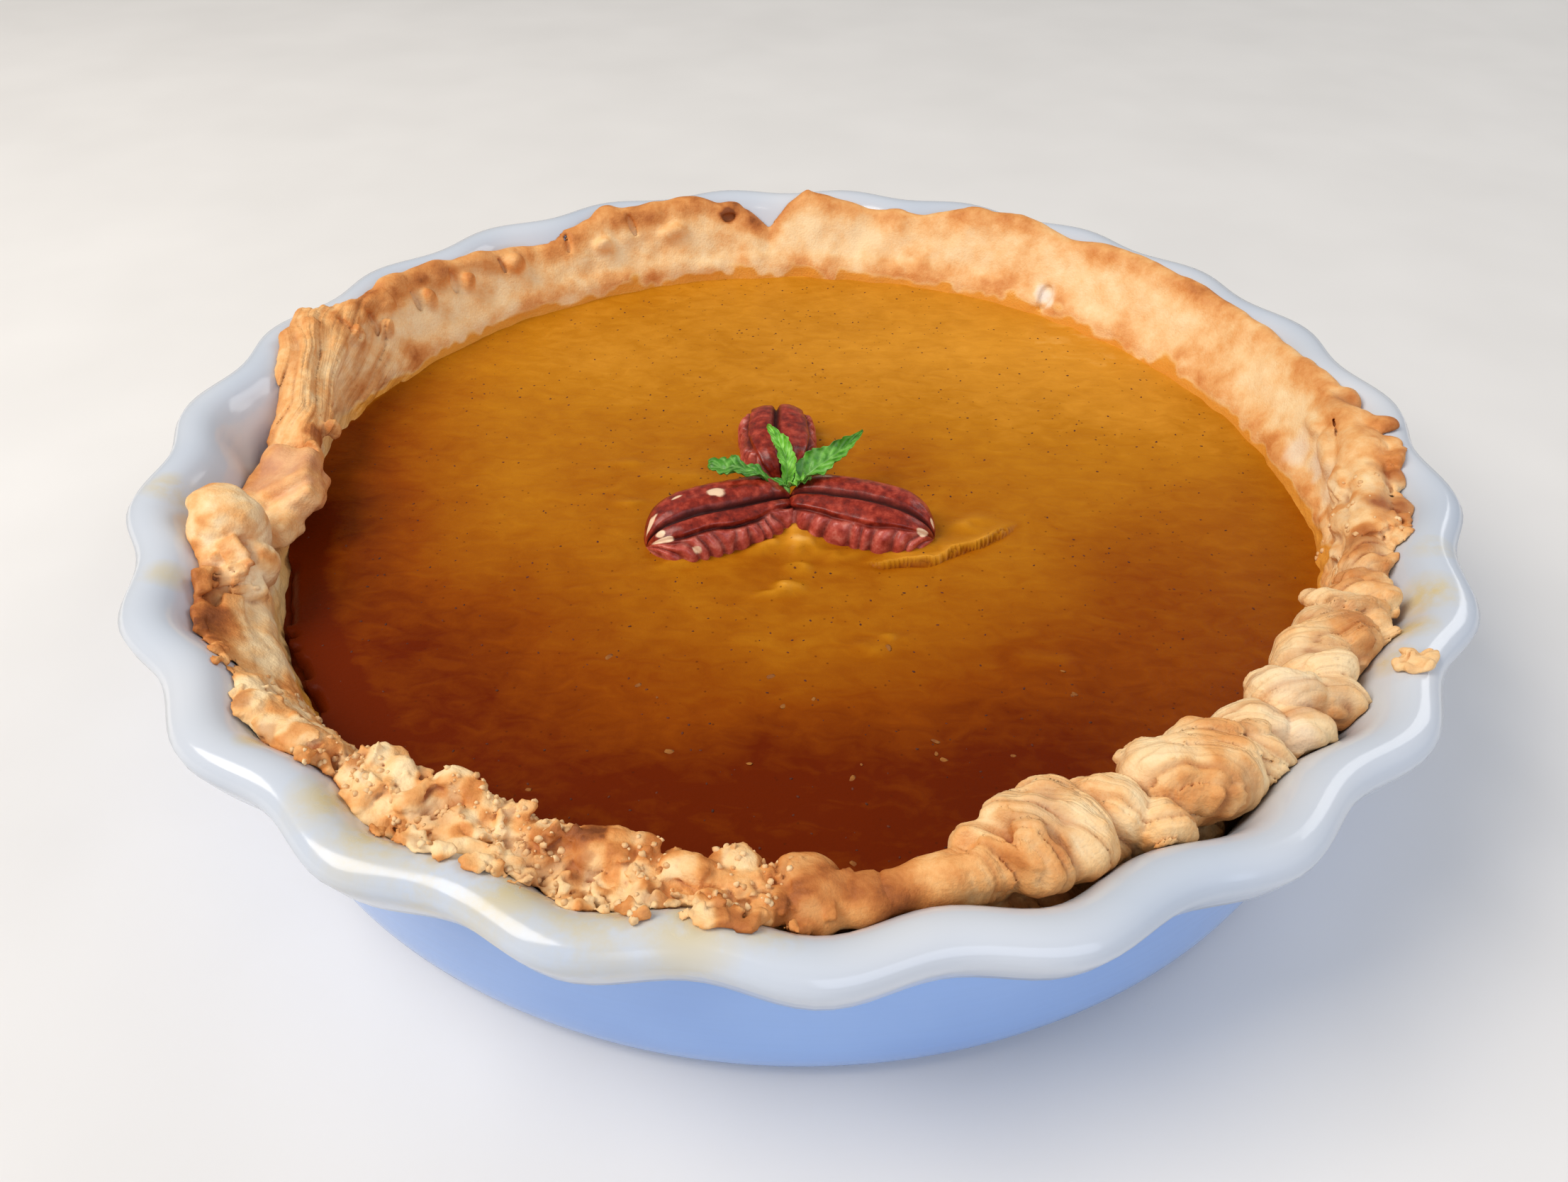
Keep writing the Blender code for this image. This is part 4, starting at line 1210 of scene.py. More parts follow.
# Soft folds and lumps in the skin: (x, y, half width, half depth, turn, height)
SKIN_LUMPS = (
    (-1.2, -14, 5.4, 5.6, 66, 1), (2.6, -18.6, 4, 3, 20, 0.8), (-6.6, -19.6, 4.4, 2.2, 30, 0.6),
    (0.6, -25.8, 3, 1.8, 10, 0.7), (-1.4, -32, 3.2, 2, 0, 1), (-5, -34.6, 4, 1.2, 0, 0.5),
    (6.4, -13.8, 3.4, 2.4, 30, 0.5), (10, -21, 5, 2, 10, 0.5), (-31, 7.4, 5, 2.8, -20, 0.3),
    (-25.2, 6.8, 5, 2.6, 12, 0.25), (-37, -3.6, 3, 1.4, 0, 0.4), (39, -9, 5, 2.6, 30, 0.5),
    (24, -19.6, 7, 2, 24, 0.5), (-24, -24.6, 7, 1.6, 20, 0.4), (15, -50, 4, 2, 0, 0.5),
    (19, -47, 3, 1.4, 0, 0.4), (48, -52, 5, 2, 0, 0.3), (-12, 26, 4, 2, 0, 0.3), (4, 24, 4, 2, 0, 0.3),
    (-40, 12, 4, 1.6, 0, 0.3),
)


def custard_edge(angle):
    """Radius of the custard's edge: just inside the wall, or drawn away from it."""
    angle = np.asarray(angle) % 360.0
    face = on_ring(angle, WALL, 1) - 1.3
    shift = on_ring(angle, SHRINK, 1)
    spots = polar(face, angle, 0.0)
    wander = 0.9 * rough_noise(spots, 3.2, 17, 2) * ease(shift + 0.3)
    return face - shift + wander


def line_distance(x, y, line):
    """Distance to a line of points, and which side of it, from -1 to 1."""
    best = np.full(np.shape(x), 1e3)
    side = np.zeros(np.shape(x))
    along = np.zeros(np.shape(x))
    for number, ((ax, ay), (bx, by)) in enumerate(zip(line, line[1:])):
        dx, dy = bx - ax, by - ay
        share = np.clip(((x - ax) * dx + (y - ay) * dy) / (dx * dx + dy * dy), 0.0, 1.0)
        away = np.hypot(x - ax - dx * share, y - ay - dy * share)
        cross = dx * (y - ay) - dy * (x - ax)
        near = away < best
        best = np.where(near, away, best)
        side = np.where(near, np.sign(cross), side)
        along = np.where(near, (number + share) / (len(line) - 1), along)
    return best, side, along


def skin_folds(x, y):
    """How far the ridge and the soft lumps lift the skin, and how much lighter they are: the lumps
    have baked lighter, the ridge has a painted highlight on its raised side and a painted shadow
    line along its low side.
    """
    flat = on_level(x, y)
    away, side, along = line_distance(x, y, RIDGE)
    ends = ease(along * 5.0) * ease((1.0 - along) * 4.0 + 0.1)
    away = away + 0.5 * noise(flat, 3.4, 14)
    behind = ends * np.exp(-(np.maximum(away, 0.0) / 2.8) ** 1.3)
    step = ease(side * away / 0.7 + 0.5)
    lift = 2.0 * behind * step - 0.5 * ends * np.exp(-(away / 0.8) ** 2) * (1.0 - step)
    # painted highlight on the ridge's raised side, painted shadow line along its low side
    pale = 0.5 * behind * step - 0.5 * ends * np.exp(-(away / 0.45) ** 2) * (1.0 - step)
    for cx, cy, wide, deep, turn, tall in SKIN_LUMPS:
        c, s = math.cos(math.radians(turn)), math.sin(math.radians(turn))
        u = ((x - cx) * c + (y - cy) * s) / wide
        v = ((y - cy) * c - (x - cx) * s) / deep
        rise = tall * np.exp(-(u * u + v * v) ** 1.4) * (1.0 + 0.5 * noise(flat, 2.6, 19))
        lift = lift + 1.3 * rise
        pale = pale + 0.38 * rise
    return lift, pale


def crowned(x, y):
    """1 in the middle of the skin's finely wrinkled crown, falling to 0 round it."""
    return np.exp(-(np.hypot(x, y + MIDDLE[0]) / MIDDLE[1]) ** 2)


def custard_height(x, y):
    """Height of the custard's skin over its flat level."""
    flat = on_level(x, y)
    lift = 0.16 * noise(flat, 34.0, 3) + 0.09 * rough_noise(flat, (11.0, 6.0, 9.0), 8, 3)
    lift = lift + 0.20 * crowned(x, y) * rough_noise(flat, (5.0, 3.4, 4.0), 12, 2)
    return lift + skin_folds(x, y)[0]


def set_custard():
    """Baked egg custard with sweet potato: a close, moist skin with a soft gloss, deeper in
    colour where it baked hardest and in painted shade towards the front, lighter in painted light
    towards the back, wrinkled finely by the heat and flecked with spice."""
    made, tree, place = new_material("set_sweet_potato_custard")
    drawn = add_node(tree, "ShaderNodeMapping",
                     {"Vector": place, "Scale": (0.55, 1.0, 1.0), "Rotation": (0, 0, 0.12)})
    wrinkle = mottle(tree, drawn.outputs[0], 3.4, 5.0, Roughness=0.55, Distortion=0.8)
    cloud = mottle(tree, place, 15, 5.0, Roughness=0.6, Distortion=0.6)
    level = maths(tree, "ADD", marked(tree, "tone"), rescale(tree, wrinkle, 0.3, 0.7, -0.05, 0.05))
    level = maths(tree, "ADD", level, rescale(tree, cloud, 0.3, 0.7, -0.045, 0.045))
    body = ramp(tree, level, (0.0, "#651F02"), (0.21, "#893F03"), (0.42, "#A15A08"),
                (0.64, "#B97512"), (0.85, "#D8922A"), (1.0, "#EEB25A"))
    # ground spice, 0.3 to 0.6 mm across
    cells = add_node(tree, "ShaderNodeTexVoronoi", {"Vector": place, "Scale": per_mm(2.2)}).outputs
    pick = add_node(tree, "ShaderNodeSeparateColor", {0: cells["Color"]}).outputs[0]
    speck = maths(tree, "MULTIPLY", rescale(tree, cells["Distance"], 0.15, 0.05, 0.0, 0.6),
                  maths(tree, "GREATER_THAN", pick, 0.6))
    skin = maths(tree, "MULTIPLY_ADD", mottle(tree, place, 0.9), 0.35, wrinkle)
    return finished(made, {
        "Base Color": mixed(tree, speck, body, "#4A1B06"),
        "Roughness": rescale(tree, cloud, 0.3, 0.7, 0.30, 0.42), "IOR": 1.42,
        "Specular IOR Level": 0.07, "Normal": relief(tree, skin, 0.7, 0.3)})


class CustardSettings(bpy.types.PropertyGroup):
    """Level and unevenness of the custard."""

    level: length_setting("Level", "Height of the custard over the table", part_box("filling")[1].z)
    specks: setting("Int", "Spice specks", "Specks for each 100 square centimetres", 340)
    bubbles: setting("Int", "Bubbles", "Bubbles for each 100 square centimetres", 130)


# Where the custard grows darker towards its edge, by baking and, most at the front, by painted shade:
# (angle, radii where it starts and ends, share)
EDGE_BAKE_AND_SHADE = (
    (0, 46, 76, 0.04), (30, 60, 110, -0.08), (90, 60, 110, 0), (150, 80, 112, 0.1),
    (167, 60, 110, 0.44), (182, 56, 96, 0.44), (207, 46, 98, 0.5), (225, 40, 97, 0.56),
    (250, 38, 98, 0.66), (270, 37, 98, 0.67), (295, 36, 98, 0.62), (315, 38, 94, 0.45),
    (340, 42, 84, 0.25),
)


def custard_tone(x, y):
    """How light the custard is, from 0 to 1: baked unevenly, with painted light towards the back,
    painted shade towards the front and a painted shadow behind the right pecan.
    """
    radius = np.hypot(x, y)
    flat = on_level(x, y)
    angle = bearing(flat)
    # the edge darkens by baking and, most at the front, by painted shade
    first, last, drop = (on_ring(angle, EDGE_BAKE_AND_SHADE, i) for i in (1, 2, 3))
    wander = radius + 7.0 * noise(flat, 26.0, 31)
    darker = drop * ease((wander - first) / (last - first))
    # painted light: lighter towards the back and the right back
    back = 0.27 * ease((y + 14.0) / 100.0) + 0.08 * (x / 100.0) * ease((y - 6.0) / 40.0)
    tone = 0.592 + back - darker + 0.05 * noise(flat, 22.0, 29)
    # painted shade: a darker dip in front of the middle
    tone = tone - 0.07 * np.exp(-(x / 60.0) ** 2 - ((y + 32.0) / 20.0) ** 2)
    tone = tone + skin_folds(x, y)[1] + 0.12 * crowned(x, y) * rough_noise(flat, (5.0, 3.0, 4.0), 33, 2)
    # painted shadow on the custard behind the right pecan
    shade = np.exp(-((x - 22.0) / 14.0) ** 2 - ((y - 10.0) / 12.0) ** 2)
    edge = custard_edge(angle)
    film = band(angle, 15.0, 165.0, 10.0) * ease((radius - edge + 1.4) / 1.4)
    return np.clip(0.85 * (tone - 0.16 * shade) + 0.38 * film, 0.0, 1.0)


class PIE_OT_custard(bpy.types.Operator):
    """Build the set custard with its skin, specks and bubbles"""

    bl_idname = "pie.custard"
    bl_label = "Custard"

    def execute(self, context):
        settings = context.scene.pie_custard
        level = settings.level / MM
        angle = np.arange(CUSTARD_TURNS) * 360.0 / CUSTARD_TURNS
        edge = custard_edge(angle)
        share = np.concatenate([np.linspace(*ring) for ring in CUSTARD_RINGS])[:, None]
        x, y, _ = np.moveaxis(polar(share * edge, angle, 0.0), -1, 0)
        drawn = np.maximum(edge - (on_ring(angle, WALL, 1) - 1.6), -1.6) < -0.6
        inset = (1.0 - share) * edge
        bead = np.where(drawn, -2.4 * (1.0 - np.sqrt(ease(inset / 2.4))),
                        0.5 * np.exp(-inset / 1.4))
        rows = [np.stack([x, y, level + custard_height(x, y) + bead], -1)]
        wall = on_ring(angle, WALL, 1) + 0.6
        for height, out in ((level - 2.0, edge), (level - 2.5, wall), (level - 3.4, wall)):
            rows.append(polar(out, angle, height)[None])
        points = np.concatenate([row.reshape(-1, 3) for row in rows])
        faces = [face[::-1] for face in capped_faces(len(share) + 3, CUSTARD_TURNS)]
        points = np.concatenate([points, [[0, 0, rows[0][0, :, 2].mean()], [0, 0, level - 3.4]]])
        tone = custard_tone(points[:, 0], points[:, 1])
        burnt = band(bearing(points), 184, 226, 8)
        burnt = burnt * ease((np.hypot(points[:, 0], points[:, 1]) - 98.0) / 9.0)
        tone = tone - 0.3 * burnt
        tone[points[:, 2] < level - 1.8] = 0.0
        made = new_piece("custard", points, faces, set_custard(), {"tone": tone})
        face_outward(made)
        settle(made, "custard", "filling")
        self.scatter(settings)
        return {"FINISHED"}

    def scatter(self, settings):
        """Sow spice specks and bubbles on the skin."""
        rings, turns = SOWN_GRID
        angle = np.arange(turns) * 360.0 / turns
        share = np.linspace(0.01, 0.97, rings)[:, None]
        x, y, _ = np.moveaxis(polar(share * custard_edge(angle), angle, 0.0), -1, 0)
        ground = np.stack([x, y, settings.level / MM + custard_height(x, y)], -1).reshape(-1, 3)
        faces = strip_faces(rings, turns, closed=True)
        x, y = ground[:, 0], ground[:, 1]
        clumps = ease(0.5 + 1.4 * noise(ground, 9.0, 61))
        front = ease((-y - 40.0) / 25.0) * ease((112.0 + y) / 12.0) * band(x, -45, 60, 20)
        spice = new_piece("ground", ground, faces, None, {"sown": 0.35 + 0.65 * clumps})
        sow("spice_specks", spice, settings.specks, (0.14, 0.40), speck_shape(),
            toasted("ground_spice", "#3E1607", "#6B2D10", 0.85), 11)
        froth = new_piece("ground", ground, faces, None, {"sown": front * clumps ** 2})
        sow("custard_bubbles", froth, settings.bubbles, (0.35, 1.15), bubble_shape(),
            toasted("custard_bubble_skin", "#7A3C0A", "#A2661E", 0.85), 23)
        for name in ("spice_specks", "custard_bubbles"):
            settle(bpy.data.objects[name], "custard")


def toasted(name, dark, light, roughness):
    """A small crumb's finish: dry or glazed, unevenly toasted between two colours."""
    made, tree, place = new_material(name)
    patch = mottle(tree, place, 2.4, 4.0)
    return finished(made, {
        "Base Color": ramp(tree, patch, (0.35, dark), (0.65, light)), "Roughness": roughness,
        "Normal": relief(tree, patch, 0.4, 0.15)})


def lumpy_ball(size, rough, seed, divisions):
    """A small uneven ball as points in millimetres and faces."""
    bm = bmesh.new()
    bmesh.ops.create_icosphere(bm, subdivisions=divisions, radius=1.0)
    points = np.array([v.co for v in bm.verts])
    faces = [[v.index for v in f.verts] for f in bm.faces]
    bm.free()
    points = points * (1.0 + rough * noise(points * 3.0, 2.0, seed))[:, None]
    return points * np.array(size), faces


def speck_shape():
    """A flat grain of ground spice."""
    return lumpy_ball((1.0, 0.7, 0.22), 0.3, 2, 1)


def bubble_shape():
    """A low burst bubble in the custard's skin."""
    return lumpy_ball((1.0, 0.6, 0.14), 0.3, 6, 2)


def crumb_shape():
    """A broken crumb of pastry."""
    return lumpy_ball((1.0, 0.8, 0.6), 0.5, 9, 2)


def sowing_tree():
    """Scatters a small shape over a surface, turned and sized at random."""
    tree, taken, result = new_tree("Sowing", {
        "Shape": "Object", "Density": "Float", "Smallest": "Float", "Largest": "Float",
        "Tilt": "Float", "Seed": "Int", "Finish": "Material"})
    sown = add_node(tree, "GeometryNodeInputNamedAttribute", {"Name": "sown"}, data_type="FLOAT")
    points = add_node(tree, "GeometryNodeDistributePointsOnFaces", {
        "Mesh": taken["Geometry"], "Seed": taken["Seed"],
        "Density": maths(tree, "MULTIPLY", sown.outputs[0], taken["Density"])},
        distribute_method="RANDOM")
    low = maths(tree, "MULTIPLY", taken["Tilt"], -1.0)
    least, most = (add_node(tree, "ShaderNodeCombineXYZ", {"X": tilt, "Y": tilt, "Z": turn}).outputs[0]
                   for tilt, turn in ((low, 0.0), (taken["Tilt"], math.tau)))
    spin = add_node(tree, "FunctionNodeRandomValue",
                    {"Min": least, "Max": most, "Seed": taken["Seed"]}, data_type="FLOAT_VECTOR")
    turn = add_node(tree, "FunctionNodeEulerToRotation", {0: spin.outputs[0]})
    lie = add_node(tree, "FunctionNodeRotateRotation",
                   {"Rotation": points.outputs["Rotation"], "Rotate By": turn.outputs[0]},
                   rotation_space="LOCAL")
    size = add_node(tree, "FunctionNodeRandomValue",
                    {2: taken["Smallest"], 3: taken["Largest"], "Seed": taken["Seed"]},
                    data_type="FLOAT")
    shape = add_node(tree, "GeometryNodeObjectInfo", {"Object": taken["Shape"]})
    put = add_node(tree, "GeometryNodeInstanceOnPoints", {
        "Points": points.outputs["Points"], "Instance": shape.outputs["Geometry"],
        "Rotation": lie.outputs[0], "Scale": size.outputs[1]})
    end_tree(tree, result, put, taken["Finish"])
    return tree


def sow(name, ground, count, sizes, shape, finish, seed, tilt=0.25):
    """Scatter a shape over a surface by its sown value, so many for each 100 square centimetres."""
    seedling = new_piece("shape", *shape, finish)
    for vert in seedling.data.vertices:
        vert.co = vert.co / MM
    made = run_tree(name, ground, sowing_tree(), {
        "Shape": seedling, "Density": float(count) * 100.0, "Smallest": sizes[0] * MM,
        "Largest": sizes[1] * MM, "Tilt": tilt, "Seed": seed, "Finish": finish})
    bpy.data.objects.remove(seedling, do_unlink=True)
    return made


# ---------------------------------------------------------------- toppings

# Pecan halves: (node, inner end, outer end, roll towards the front in degrees, seed, which side
# faces the front, chips in the skin). A chip is where it lies along and across the half, from
# -1 to 1, and its reach both ways.
PECANS = (
    ("pecan_left", (-1.0, -4.2), (-31.6, -19.6), -16, 3, 1,
     ((0.02, -0.36, 0.14, 0.14), (0.86, 0.24, 0.05, 0.12), (0.84, 0.52, 0.09, 0.08),
      (0.90, -0.42, 0.07, 0.16), (0.52, 0.84, 0.06, 0.07), (0.50, -0.58, 0.09, 0.05))),
    ("pecan_right", (-1.7, -4.4), (29.8, -15.0), 16, 14, -1,
     ((0.88, -0.46, 0.06, 0.12), (0.95, 0.36, 0.03, 0.12), (-0.62, 0.62, 0.14, 0.05))),
    ("pecan_back", (-3.4, 4.4), (-5.6, 31.6), 0, 27, 0, ()),
)
PECAN_WIDTH = 18.4         # whole width of a half
PECAN_TALL = 8.6           # its height
PECAN_SUNK = 0.5           # how deep a half has settled in the custard
PECAN_BASE = -3.0          # how far its underside goes on below that
PECAN_STEPS = (150, 260)   # points along a pecan and round it

# The mint sprig's joint, and its leaves as three points of the midrib from the joint, half widths
# along it, how far the sides fold up, and the blade's turns at its base and its tip
MINT_JOINT = (-2.2, -4.6, 39.9)
MINT_LEAVES = (
    (((0, 0, 0), (-9.4, 1.2, 3.2), (-17.2, 4.0, 2.4)), (0.5, 1.6, 2.0, 2.9, 3.6, 3.4, 0.6), 0.2, 14, -8),
    (((0, 0, 0), (-0.6, 5.4, 5.2), (-4.6, 14.0, 6.2)), (0.7, 1.7, 2.1, 1.9, 1.3, 0.2), 0.9, 16, -26),
    (((0, 0, 0), (7.8, 3.6, 3.8), (16.8, 11.4, 7.6)), (0.7, 3.2, 3.7, 2.8, 1.6, 0.3), 0.6, -8, 40),
    (((0, 0, 0.4), (2.8, -0.3, 1.8), (5.4, 0.6, 1.8)), (0.5, 1.5, 1.8, 1.5, 0.9, 0.2), 0.4, 0, 0),
)
MINT_STEM = (0.9, 0.9, 1.4)    # half sizes of the stem, caught between the pecans
YOUNG = (1.0, 0.2, 1.0, 0.45, 0.9)     # how young the stem and each leaf is
LEAF_STEPS = (64, 31)          # points along a leaf and across it
LEAF_HALF = 0.14               # half its thickness


def pecan_half(length, seed, near, chips):
    """A pecan half lying on its flat side along X: points, faces and each point's furrow and chip.

    Two smooth lobes with a deep furrow between them, and a cross-ribbed flank below each lobe,
    higher on the near side.
    """
    along, around = PECAN_STEPS
    u = -np.cos(np.linspace(0.03, math.pi - 0.03, along))[:, None]
    phi = np.linspace(0.0, math.tau, around, endpoint=False)[None, :]
    side, top = np.cos(phi) * np.ones_like(u), np.sin(phi) * np.ones_like(u)
    u = u * np.ones_like(side)
    across = np.abs(side)
    grain = np.stack([u * length / 2, side * PECAN_WIDTH / 2, np.full_like(u, seed * 17.0)], -1)
    wave = noise(grain, 5.0, seed)
    blunt = np.maximum(1.0 - np.abs(u) ** (3.9 - 1.2 * u), 0.0) ** 0.5
    half = PECAN_WIDTH / 2 * blunt * (1.0 + 0.07 * u) * (1.0 + 0.03 * wave)
    tall = PECAN_TALL * blunt ** 0.75 * (1.0 + 0.05 * u)
    off = side - 0.06 * abs(near) - 0.05 * np.sin(2.2 * u + seed) - 0.02 * wave
    furrow = np.exp(-(off / 0.07) ** 2) + 0.3 * np.exp(-(off / 0.2) ** 2)
    bend = np.where(side * near > 0, 0.55, 0.95 if near else 0.8)
    bend = bend + 0.05 * np.sin(5.0 * u + seed) + 0.06 * wave
    fold = np.exp(-((across - bend) / 0.06) ** 2) * (0.8 + 0.6 * wave)
    rib = np.abs(np.sin(math.pi * (u * length / 6.8 + 0.8 * across + 0.9 * wave + seed)))
    flank = ease((across - bend) / 0.12)
    drawn = noise(grain / (3.2, 0.9, 1.0), 2.4, seed + 6)
    deep = 1.5 * furrow + 1.5 * fold + flank * (1.0 - 1.1 * rib) + 0.22 * drawn
    deep = deep * ease(top * 4.0) + 0.10 * noise(grain, 1.5, seed + 2)
    y = half * np.sign(side) * across ** 0.9
    z = tall * np.maximum(top, 0.0) ** 0.66
    steep = np.hypot(side / PECAN_WIDTH * 2, top / PECAN_TALL)
    y = y - deep * side / PECAN_WIDTH * 2 / steep * ease(blunt * 1.6)
    z = z - np.minimum(deep * top / PECAN_TALL / steep, 0.6 * z)
    z = np.where(top >= 0, np.maximum(z, 0.0), PECAN_BASE)
    points = np.stack([u * length / 2, y, z], -1).reshape(-1, 3)
    points = np.concatenate([points, [[-length / 2, 0, 0.5], [length / 2, 0, 0.5]]])
    chip = np.zeros_like(u)
    for cu, cv, reach_u, reach_v in chips:
        away = np.hypot((u - cu) / reach_u, (side - cv) / reach_v)
        away = away + 0.25 * wave + 0.5 * noise(grain, 1.5, seed + 9)
        chip = np.maximum(chip, ease((1.1 - away) * 3.0) * (top > 0))
    values = {"deep": np.clip(deep / 1.5, 0, 1) ** 1.3, "chip": chip, "crest": flank}
    values = {key: np.append(v.reshape(-1), (0, 0)) for key, v in values.items()}
    return points, capped_faces(along, around), values


def pecan_skin():
    """The thin papery skin of a shelled pecan: satin red-brown, nearly black in its furrows and
    rubbed to pale kernel where it has chipped, with a pinker painted reflection on its ribbed flanks."""
    made, tree, place = new_material("pecan_skin")
    deep, chip, crest = (marked(tree, key) for key in ("deep", "chip", "crest"))
    patch = mottle(tree, place, 2.2, 5.0, Roughness=0.62)
    lobe = ramp(tree, patch, (0.3, "#561109"), (0.5, "#8A2615"), (0.72, "#BC4A34"))
    # painted reflection: the ribbed flanks lighter and pinker
    ribbed = ramp(tree, patch, (0.3, "#8E2C20"), (0.52, "#BE5444"), (0.74, "#DE8874"))
    skin = mixed(tree, deep, mixed(tree, crest, lobe, ribbed), "#3E0E07")
    return finished(made, {
        "Base Color": mixed(tree, chip, skin, "#EFCDA8"),
        "Roughness": rescale(tree, deep, 0.0, 0.8, 0.36, 0.8), "IOR": 1.5, "Coat Weight": 0.18,
        "Coat Roughness": 0.22, "Specular IOR Level": 0.25,
        "Normal": relief(tree, mottle(tree, place, 0.7, 3.0), 0.45, 0.15)})


def mint_leaf():
    """Fresh mint: soft satin blades, deep green with paler veins, paler still when young."""
    made, tree, place = new_material("fresh_mint_leaf")
    patch = mottle(tree, place, 1.6, 4.0)
    old = ramp(tree, patch, (0.3, "#1A4A0C"), (0.5, "#31761A"), (0.75, "#5AA036"))
    new = ramp(tree, patch, (0.3, "#458A1E"), (0.5, "#70B834"), (0.75, "#9CD862"))
    blade = mixed(tree, marked(tree, "young"), old, new)
    share = maths(tree, "MULTIPLY", marked(tree, "vein"), 0.45)
    fine = add_node(tree, "ShaderNodeTexVoronoi", {"Vector": place, "Scale": per_mm(0.9)})
    return finished(made, {
        "Base Color": mixed(tree, share, blade, "#A5D87A"), "Roughness": 0.4, "IOR": 1.4,
        "Normal": relief(tree, fine.outputs["Distance"], 0.4, 0.12)})


def leaf_blade(midrib, widths, cup, base_turn, tip_turn, seed):
    """One toothed and crinkled leaf from the joint: points, faces and its veins."""
    along, across = LEAF_STEPS
    t = np.linspace(0.0, 1.0, along)
    low, bend, high = (np.array(point, float) for point in midrib)
    spine = (((1 - t) ** 2)[:, None] * low + (2 * t * (1 - t))[:, None] * (2 * bend - (low + high) / 2)
             + (t ** 2)[:, None] * high)
    ahead = np.gradient(spine, axis=0)
    ahead /= np.linalg.norm(ahead, axis=1)[:, None]
    flat = np.cross((0.0, 0.0, 1.0), ahead)
    flat /= np.linalg.norm(flat, axis=1)[:, None]
    over = np.cross(ahead, flat)
    turn = np.radians(base_turn + (tip_turn - base_turn) * t)[:, None]
    left = flat * np.cos(turn) + over * np.sin(turn)
    up = over * np.cos(turn) - flat * np.sin(turn)
    s = np.linspace(-1.0, 1.0, across)[None, :]
    side = np.abs(s) * np.ones((along, 1))
    t = t[:, None] * np.ones_like(side)
    half = np.interp(t, np.linspace(0.0, 1.0, len(widths)), widths)
    tooth = np.abs((t * 10.0 + 0.1 * seed) % 1.0 - 0.35) * 0.34 * ease((side - 0.7) / 0.3)
    y = s * half * (1.0 - tooth)
    branch = np.exp(-(((t * 8.0 - side * 1.7) % 1.0 - 0.5) / 0.15) ** 2)
    vein = np.maximum(np.exp(-(side / 0.08) ** 2), 0.75 * branch * ease(side * 8.0))
    where = np.stack([t * 18.0, y, np.full_like(y, seed * 9.0)], -1)
    lift = (cup * half * side ** 1.4 + 0.7 * np.sin(t * 21.0 + seed + 2.0 * (s > 0)) * side ** 2
            - 0.4 * vein + 0.7 * rough_noise(where, 2.8, seed + 40, 2))
    blade = spine[:, None] + left[:, None] * y[..., None] + up[:, None] * lift[..., None]
    points = np.concatenate([(blade + up[:, None] * shift).reshape(-1, 3)
                             for shift in (LEAF_HALF, -LEAF_HALF)])
    count = along * across
    upper = strip_faces(along, across)
    faces = upper[:, ::-1].tolist() + (upper + count).tolist()
    rim = [i * across for i in range(along)]
    rim += [(along - 1) * across + j for j in range(1, across)]
    rim += [i * across + across - 1 for i in range(along - 2, -1, -1)]
    rim += list(range(across - 2, 0, -1))
    for a, b in zip(rim, rim[1:] + rim[:1]):
        faces.append((a + count, b + count, b, a))
    return points + np.array(MINT_JOINT), faces, np.tile(vein.reshape(-1), 2)


